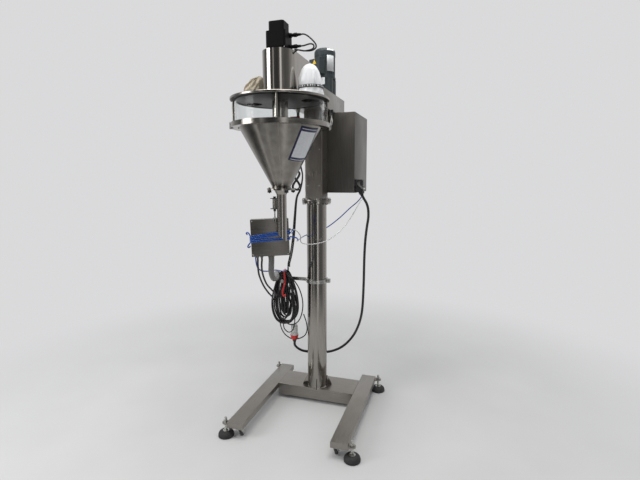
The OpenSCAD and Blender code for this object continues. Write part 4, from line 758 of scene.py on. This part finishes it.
def finish_cloth(piece, thick, node):
    """The cloth's thickness and one level of smoothing; the CAD node it stands for is hidden."""
    shell = piece.modifiers.new("thickness", "SOLIDIFY")
    shell.thickness = thick
    shell.offset = -1
    even = piece.modifiers.new("even", "SUBSURF")
    even.levels = even.render_levels = 1
    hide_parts(node)


# The filter bag's outline: radius and height over the lid. The strap gathers it at its waist.
CAP_AT = AXIS + Vector((0.162, 0.032, LID_TOP))
CAP_LINE = [
    (0.0695, 0.0010), (0.0700, 0.008), (0.0690, 0.018), (0.0672, 0.028), (0.0655, 0.038),
    (0.0640, 0.045), (0.0628, 0.050), (0.0622, 0.055), (0.0624, 0.060), (0.0636, 0.067),
    (0.0640, 0.076), (0.0628, 0.088), (0.0606, 0.100), (0.0578, 0.112), (0.0546, 0.124),
    (0.0508, 0.136), (0.0462, 0.147), (0.0405, 0.157), (0.0330, 0.165), (0.0240, 0.1705),
    (0.0140, 0.1735), (0.0060, 0.1745)]
CAP_WAIST = 0.055
STRAP_R, STRAP_SHIFT = 0.0662, 0.0032


def add_filter_cap():
    """The white filter bag: gathered by its strap and fallen into soft folds."""
    count = 84
    rows = []
    for radius, height in CAP_LINE:
        full = exp(-((height - CAP_WAIST) / 0.020) ** 2)
        row = []
        for k in range(count):
            a = tau * k / count
            fold = (0.0012 + 0.0014 * full) * sin(11 * a + 1.3 * sin(height * 60))
            fold += 0.0022 * sin(3 * a + 30 * height)
            fold += 0.0016 * sin(7 * a - 55 * height + 1)
            fold *= 1 - 0.8 * full
            swell = 1 + 0.035 * (1 - full) * min(1, (0.176 - height) / 0.05)
            r = radius * swell + fold * min(1, radius / 0.03)
            lean = 0.004 * sin(pi * min(1, height / 0.17))
            row.append(CAP_AT + Vector((r * cos(a) + lean, r * sin(a), height + 0.001)))
        rows.append(row)
    cap = add_cloth("filter_bag", rows, "white_cloth")
    pins = {r * count + k: 1.0 for r, (_, height) in enumerate(CAP_LINE)
            if height < 0.002 or 0.046 < height < 0.062 for k in range(count)}
    inner = [(0.057, 0.0)] + [(max(0.004, r - 0.0055), h - 0.0035) for r, h in CAP_LINE[2:]]
    drape(cap, pins, add_form(inner, CAP_AT), frames=26, bending=0.9, self_gap=0.0022)
    finish_cloth(cap, thick=0.0012, node="filter_cap")


def on_strap(angle, out, height):
    """A point of the filter bag's strap, which lies a little tilted on the bag's waist."""
    r = STRAP_R + 0.0005 * sin(11 * angle) + out
    tilt = 0.0014 * cos(angle - 0.6)
    return CAP_AT + Vector((r * cos(angle) + STRAP_SHIFT, r * sin(angle), height + tilt))


def add_cap_strap():
    """The filter bag's black strap."""
    count = 120
    section = ((0.0, 0.0475), (0.0012, 0.0480), (0.0012, 0.0620), (0.0, 0.0625))
    vertices = [on_strap(tau * k / count, *corner) for k in range(count) for corner in section]
    faces = []
    for k in range(count):
        n = (k + 1) % count
        for row in range(4):
            up = (row + 1) % 4
            faces.append((k * 4 + row, n * 4 + row, n * 4 + up, k * 4 + up))
    add_mesh("filter_strap", vertices, faces, "strap_black")


def add_strap_marks():
    """White woven dashes on the strap, uneven in length and in the gaps between them."""
    angle, index, steps = 0.0, 0, 5
    while angle < tau - 0.12:
        width = random.choice((0.07, 0.10, 0.15))
        vertices = [on_strap(angle + width * step / steps, 0.00145, height)
                    for step in range(steps + 1) for height in (0.0510, 0.0590)]
        faces = [(2 * s, 2 * s + 2, 2 * s + 3, 2 * s + 1) for s in range(steps)]
        add_mesh("strap_mark_%02d" % index, vertices, faces, "paper", thick=0.0003)
        index += 1
        angle += width + random.choice((0.09, 0.12, 0.17))


add_filter_cap()
add_cap_strap()
add_strap_marks()

# The beige sleeve's outline, as for the filter bag, and where the arm's cover stops it.
SLEEVE_AT = AXIS + Vector((-0.172, 0.036, LID_TOP))
COVER_STOP = SLEEVE_AT.x + 0.0505
HEAP_LINE = [
    (0.0700, 0.001), (0.0705, 0.010), (0.0705, 0.021), (0.0700, 0.032), (0.0690, 0.043),
    (0.0680, 0.054), (0.0665, 0.065), (0.0640, 0.076), (0.0600, 0.087), (0.0545, 0.098),
    (0.0470, 0.108), (0.0380, 0.117), (0.0270, 0.125), (0.0160, 0.131), (0.0070, 0.134)]


def heap_lean(height):
    """How far the heap leans at a height over the lid."""
    t = min(1.0, max(0.0, height / 0.135))
    return Vector((0.036 * t * t * (1.6 - 0.6 * t), 0.004 * t, 0))


def add_sleeve():
    """The beige cloth sleeve on its port, gathered and pushed down in a heap against the cover."""
    count = 96
    fine = []
    for (r0, h0), (r1, h1) in zip(HEAP_LINE, HEAP_LINE[1:]):
        fine += [(r0, h0), (r0 + (r1 - r0) * 0.5, h0 + (h1 - h0) * 0.5)]
    fine.append(HEAP_LINE[-1])
    rows = []
    for radius, height in fine:
        row = []
        for k in range(count):
            a = tau * k / count
            place = Vector((2.2 * cos(a), 2.2 * sin(a), height * 26))
            warp = noise.noise(place * 0.9 + Vector((3.1, 0.4, 7.7))) * 1.8
            fold = 0.0085 * sin(9 * a + warp * 2 + 34 * height)
            fold += 0.0045 * sin(17 * a - 60 * height + warp * 3)
            fold += 0.008 * noise.noise(place * 1.7)
            edge = min(1.0, height / 0.012) * min(1.0, radius / 0.03)
            r = radius * 0.96 + fold * edge
            p = around(SLEEVE_AT + heap_lean(height), r, a, height + 0.001)
            p.x = min(p.x, COVER_STOP)
            row.append(p)
        rows.append(row)
    sleeve = add_cloth("feed_sleeve", rows, "beige_cloth")
    pins = {r * count + k: 1.0 if height < 0.002 else 0.9 for r, (_, height) in enumerate(fine)
            if height < 0.002 or height > 0.128 for k in range(count)}
    inner = [(0.050, 0.0)] + [(max(0.004, r * 0.80 - 0.004), h * 0.93) for r, h in HEAP_LINE[1:]]
    form = add_form(inner, SLEEVE_AT, heap_lean)
    drape(sleeve, pins, form, frames=30, bending=0.25, self_gap=0.0018)
    for vertex in sleeve.data.vertices:
        vertex.co.x = min(vertex.co.x, COVER_STOP + 0.0003)
        vertex.co.z = max(vertex.co.z, LID_TOP + 0.0006)
    finish_cloth(sleeve, thick=0.0008, node="feed_cloth")


add_sleeve()


# ---- Plates, labels and screws, all bare ----

CONE_TOP, CONE_LOW = 1.911, 1.589
CONE_R, CONE_END_R = 0.228, 0.053
CONE_SLOPE = (CONE_R - CONE_END_R) / (CONE_TOP - CONE_LOW)
CONE_SINE = CONE_SLOPE / hypot(1, CONE_SLOPE)


def on_cone(across, along, middle_angle, off=0.0):
    """A point of the unrolled cone, along from its tip, laid back on the cone."""
    angle = middle_angle + atan2(across, along) / CONE_SINE
    radius = hypot(across, along) * CONE_SINE
    height = CONE_LOW + (radius - CONE_END_R) / CONE_SLOPE
    out = Vector((cos(angle), sin(angle), -CONE_SLOPE)) / hypot(1, CONE_SLOPE)
    return around(AXIS, radius, angle, height) + out * off


def add_cone_label():
    """The paper sheet in its dark blue frame on the cone; nothing is written on it."""
    angle = radians(-20)
    low, high, half = 0.262, 0.455, 0.069
    border = 0.011
    across = [-half, *(-half + border + (2 * half - 2 * border) * k / 12 for k in range(12)),
              half - border, half]
    along = [low, low + 0.006, low + 0.009,
             *(low + 0.020 + (high - low - 0.046) * k / 8 for k in range(8)),
             high - 0.026, high - 0.014, high - 0.011, high]
    vertices = [on_cone(a, b, angle, 0.0003) for b in along for a in across]
    label = add_mesh("cone_label", vertices, strip_faces(len(along), len(across)), "paper",
                     thick=0.0004)
    label.data.materials.append(LOOKS["navy"])
    last_row, last_column = len(along) - 2, len(across) - 2
    for number, face in enumerate(label.data.polygons):
        row, column = divmod(number, last_column + 1)
        framed = row in (0, 2, last_row - 2, last_row) or column in (0, last_column)
        face.material_index = int(framed)


def add_cone_seam():
    """The cone's ground weld seam: a low bead that just stands out of the sheet."""
    angle = radians(-70)
    out = Vector((cos(angle), sin(angle), -CONE_SLOPE)).normalized()
    line = [on_cone(0, (CONE_END_R + (CONE_R - CONE_END_R) * k / 30) / CONE_SINE, angle)
            for k in range(1, 30)]
    sides = 6
    vertices = []
    for k, p in enumerate(line):
        across = heading(line, k).cross(out).normalized()
        for s in range(sides):
            a = tau * s / sides
            vertices.append(p + across * cos(a) * 0.0011 + out * sin(a) * 0.0005)
    add_mesh("cone_seam", vertices, ring_faces(len(line), sides), "weld")


add_cone_label()
add_cone_seam()

MOTOR_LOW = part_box("gear_motor")[0]
MOTOR_AXIS = Vector((0, COLUMN.y + 0.205, 0))
TERMINAL_FACE = 0.112          # from the motor's axis
UP = Vector((0, 0, 1))


def add_motor_plate():
    """The motor's plate, bent round its side."""
    radius, width, angle, steps = 0.0735, 0.058, radians(-39), 10
    half = width / radius / 2
    vertices = [around(MOTOR_AXIS, radius, angle - half + 2 * half * k / steps, height)
                for height in (MOTOR_LOW.z + 0.035, MOTOR_LOW.z + 0.185) for k in range(steps + 1)]
    add_mesh("motor_plate", vertices, strip_faces(2, steps + 1), "paper", thick=0.0008)


def add_terminal_sign():
    """A small three-cornered warning plate on the terminal box, with nothing on it."""
    turn = Matrix.Rotation(radians(-114), 3, "Z")
    out = turn @ Vector((1, 0, 0))
    centre = MOTOR_AXIS + turn @ Vector((TERMINAL_FACE + 0.0001, 0, 0)) + UP * (MOTOR_LOW.z + 0.088)
    up, across = UP * 0.030, UP.cross(out) * 0.030
    corners = [up * 0.62, across * 0.6 - up * 0.42, across * -0.6 - up * 0.42]
    vertices = [centre + corner + out * thick for thick in (0, 0.0006) for corner in corners]
    faces = [(2, 1, 0), (3, 4, 5), (0, 1, 4, 3), (1, 2, 5, 4), (2, 0, 3, 5)]
    add_mesh("terminal_sign", vertices, faces, "yellow", smooth=False)


add_motor_plate()
add_terminal_sign()

GEAR_LOW, GEAR_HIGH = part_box("gearbox")
LABEL_H, LABEL_THICK, LABEL_CORNER = 0.046, 0.0006, 0.002


def add_gear_label(name, across, width, look):
    """A thin label with round corners on the gearbox's front, across from its left edge."""
    centre = Vector((GEAR_LOW.x + across, GEAR_LOW.y - 0.0002, GEAR_HIGH.z - 0.034))
    outline = []
    for sx, sy, start in ((1, -1, -90), (1, 1, 0), (-1, 1, 90), (-1, -1, 180)):
        for k in range(5):
            a = radians(start + 22.5 * k)
            outline.append((sx * (width / 2 - LABEL_CORNER) + LABEL_CORNER * cos(a),
                            sy * (LABEL_H / 2 - LABEL_CORNER) + LABEL_CORNER * sin(a)))
    n = len(outline)
    vertices = [centre + Vector((x, y, z)) for y in (0, -LABEL_THICK) for x, z in outline]
    faces = [tuple(reversed(range(n))), tuple(range(n, 2 * n)), *ring_faces(2, n)]
    label = add_mesh(name, vertices, faces, look, smooth=False)
    bevel = label.modifiers.new("round", "BEVEL")
    bevel.width = LABEL_THICK * 0.4
    bevel.segments = 2
    bevel.limit_method = "ANGLE"


add_gear_label("gear_label_yellow", 0.020, 0.022, "yellow")
add_gear_label("gear_label_white", 0.070, 0.066, "paper")


def add_screw(name, place, out, size):
    """A pan-head screw of size radius, with a shallow dish for its recess."""
    count = 16
    turn = out.to_track_quat("Z", "Y").to_matrix()
    profile = ((1, 0), (1, 0.25), (0.86, 0.48), (0.5, 0.62), (0.34, 0.64), (0.26, 0.40),
               (0.02, 0.36))
    vertices = []
    for radius, height in profile:
        ring = ring_at(Vector((0, 0, 0)), size * radius, size * height, count)
        vertices += [place + turn @ p for p in ring]
    faces = ring_faces(len(profile), count)
    faces += [tuple(reversed(range(count))), tuple(range(len(vertices) - count, len(vertices)))]
    add_mesh(name, vertices, faces, "fastener")


SIGNS = ((-1, -1), (1, -1), (-1, 1), (1, 1))
SCREW_INSET = 0.010
for number, (x, z) in enumerate(SIGNS):
    place = in_box(x * (BOX_W / 2 - SCREW_INSET), 0, z * (BOX_H / 2 - SCREW_INSET))
    add_screw("box_screw_%d" % number, place, BOX_TURN @ Vector((0, -1, 0)), size=0.0042)
SERVO_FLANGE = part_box("servo_motor")[0].z + 0.012
SERVO_REACH = 0.0475
for number, (x, y) in enumerate(SIGNS):
    place = AXIS + Vector((x * SERVO_REACH, y * SERVO_REACH, SERVO_FLANGE))
    add_screw("servo_screw_%d" % number, place, UP, size=0.005)


# ---- Stage ----

BACKDROP = (0.70, 0.70, 0.71)
FLOOR_DARK, FLOOR_LIGHT = (0.60, 0.60, 0.595), (0.64, 0.64, 0.635)
CEILING = (0.45, 0.45, 0.45)
# What shows round the room: degrees from the front towards the right, and the brightness. The half
# behind the object is the plain backdrop; the half behind the camera is dimmer, with tall windows.
ROOM = [
    (-180, 0.70), (-115, 0.62), (-95, 0.30), (-80, 0.10), (-64, 0.08), (-56, 0.10), (-53, 1.0),
    (-48, 1.0), (-45, 0.12), (-30, 0.08), (-24, 0.10), (-21, 0.80), (-18, 0.75), (-15, 0.10),
    (5, 0.07), (22, 0.11), (27, 1.3), (34, 1.3), (39, 0.26), (58, 0.16), (85, 0.20), (100, 0.40),
    (120, 0.62), (180, 0.70)]


def room_colour(tree, across, ahead):
    """The room's brightness in a direction, from how far right and how far back it goes."""
    front = add_node(tree, "Math", {0: ahead, 1: -1.0}, operation="MULTIPLY").outputs[0]
    turn = add_node(tree, "Math", {0: across, 1: front}, operation="ARCTAN2").outputs[0]
    ramp = add_node(tree, "ValToRGB", {0: between(tree, turn, start=-pi, end=pi)})
    stops = ramp.color_ramp.elements
    while len(stops) < len(ROOM):
        stops.new(0.5)
    for stop, (degrees, level) in zip(stops, ROOM):
        stop.position = (degrees + 180) / 360
        stop.color = (level, level, level * 1.01, 1)
    rays = add_node(tree, "LightPath").outputs
    return mixed(tree, rays["Is Camera Ray"], ramp.outputs[0], BACKDROP)


def add_floor():
    """A plain pale floor that runs out into the room's colour."""
    material, tree, shader = new_material("floor_paint", Roughness=0.9, Specular_IOR_Level=0.1)
    stains = grain(tree, 1.6, detail=6.0)
    colour = mixed(tree, between(tree, stains), FLOOR_DARK, FLOOR_LIGHT)
    tree.links.new(colour, shader.inputs["Base Color"])
    bump = add_node(tree, "Bump", {"Height": grain(tree, 40), "Strength": 0.05, "Distance": 0.001})
    tree.links.new(bump.outputs[0], shader.inputs["Normal"])
    spot = add_node(tree, "TexCoord").outputs["Object"]
    parts = add_node(tree, "SeparateXYZ", {0: spot}).outputs
    away = add_node(tree, "VectorMath", {0: spot}, operation="LENGTH").outputs["Value"]
    fade = between(tree, away, start=1.2, end=3.4, interpolation_type="SMOOTHSTEP")
    far = add_node(tree, "Emission", {"Color": room_colour(tree, parts[0], parts[1])})
    both = add_node(tree, "MixShader", {0: fade, 1: shader.outputs[0], 2: far.outputs[0]})
    tree.links.new(both.outputs[0], tree.nodes["Material Output"].inputs["Surface"])
    mesh = bpy.data.meshes.new("floor")
    mesh.from_pydata([(-30, -30, 0), (30, -30, 0), (30, 30, 0), (-30, 30, 0)], [], [(0, 1, 2, 3)])
    mesh.materials.append(material)
    add_object("floor", mesh)


def add_world():
    """Even light on the object; the room is seen directly, in metal and through glass."""
    world = bpy.data.worlds.new("room")
    bpy.context.scene.world = world
    world.use_nodes = True
    tree = world.node_tree
    tree.nodes.clear()
    spot = add_node(tree, "TexCoord").outputs["Generated"]
    way = add_node(tree, "SeparateXYZ", {0: spot}).outputs
    roof = between(tree, way[2], start=0.55, end=0.95)
    room = mixed(tree, roof, room_colour(tree, way[0], way[1]), CEILING)
    seen = add_node(tree, "Background", {"Color": room, "Strength": 1.0})
    even = add_node(tree, "Background", {"Color": (0.62, 0.63, 0.65, 1), "Strength": 0.85})
    rays = add_node(tree, "LightPath").outputs
    direct = rays["Is Camera Ray"]
    for other in ("Is Glossy Ray", "Is Transmission Ray"):
        direct = add_node(tree, "Math", {0: direct, 1: rays[other]}, operation="MAXIMUM").outputs[0]
    both = add_node(tree, "MixShader", {0: direct, 1: even.outputs[0], 2: seen.outputs[0]})
    add_node(tree, "OutputWorld", {0: both.outputs[0]})


def add_lamp(name, place, aim, size, power, colour=(1, 1, 1)):
    data = bpy.data.lights.new(name, "AREA")
    data.shape = "RECTANGLE"
    data.size, data.size_y = size
    data.energy = power
    data.color = colour
    lamp = add_object(name, data)
    lamp.location = place
    lamp.rotation_euler = (Vector(aim) - Vector(place)).to_track_quat("-Z", "Y").to_euler()


add_floor()
add_world()
add_lamp("left_light", (-3.2, -2.6, 2.6), (0, 0, 1.3), (1.6, 2.2), 60)
add_lamp("ceiling", (0.2, -0.6, 4.6), (0, 0, 0), (3.0, 2.0), 110, (1, 0.99, 0.96))
bpy.context.scene.view_settings.view_transform = "Standard"
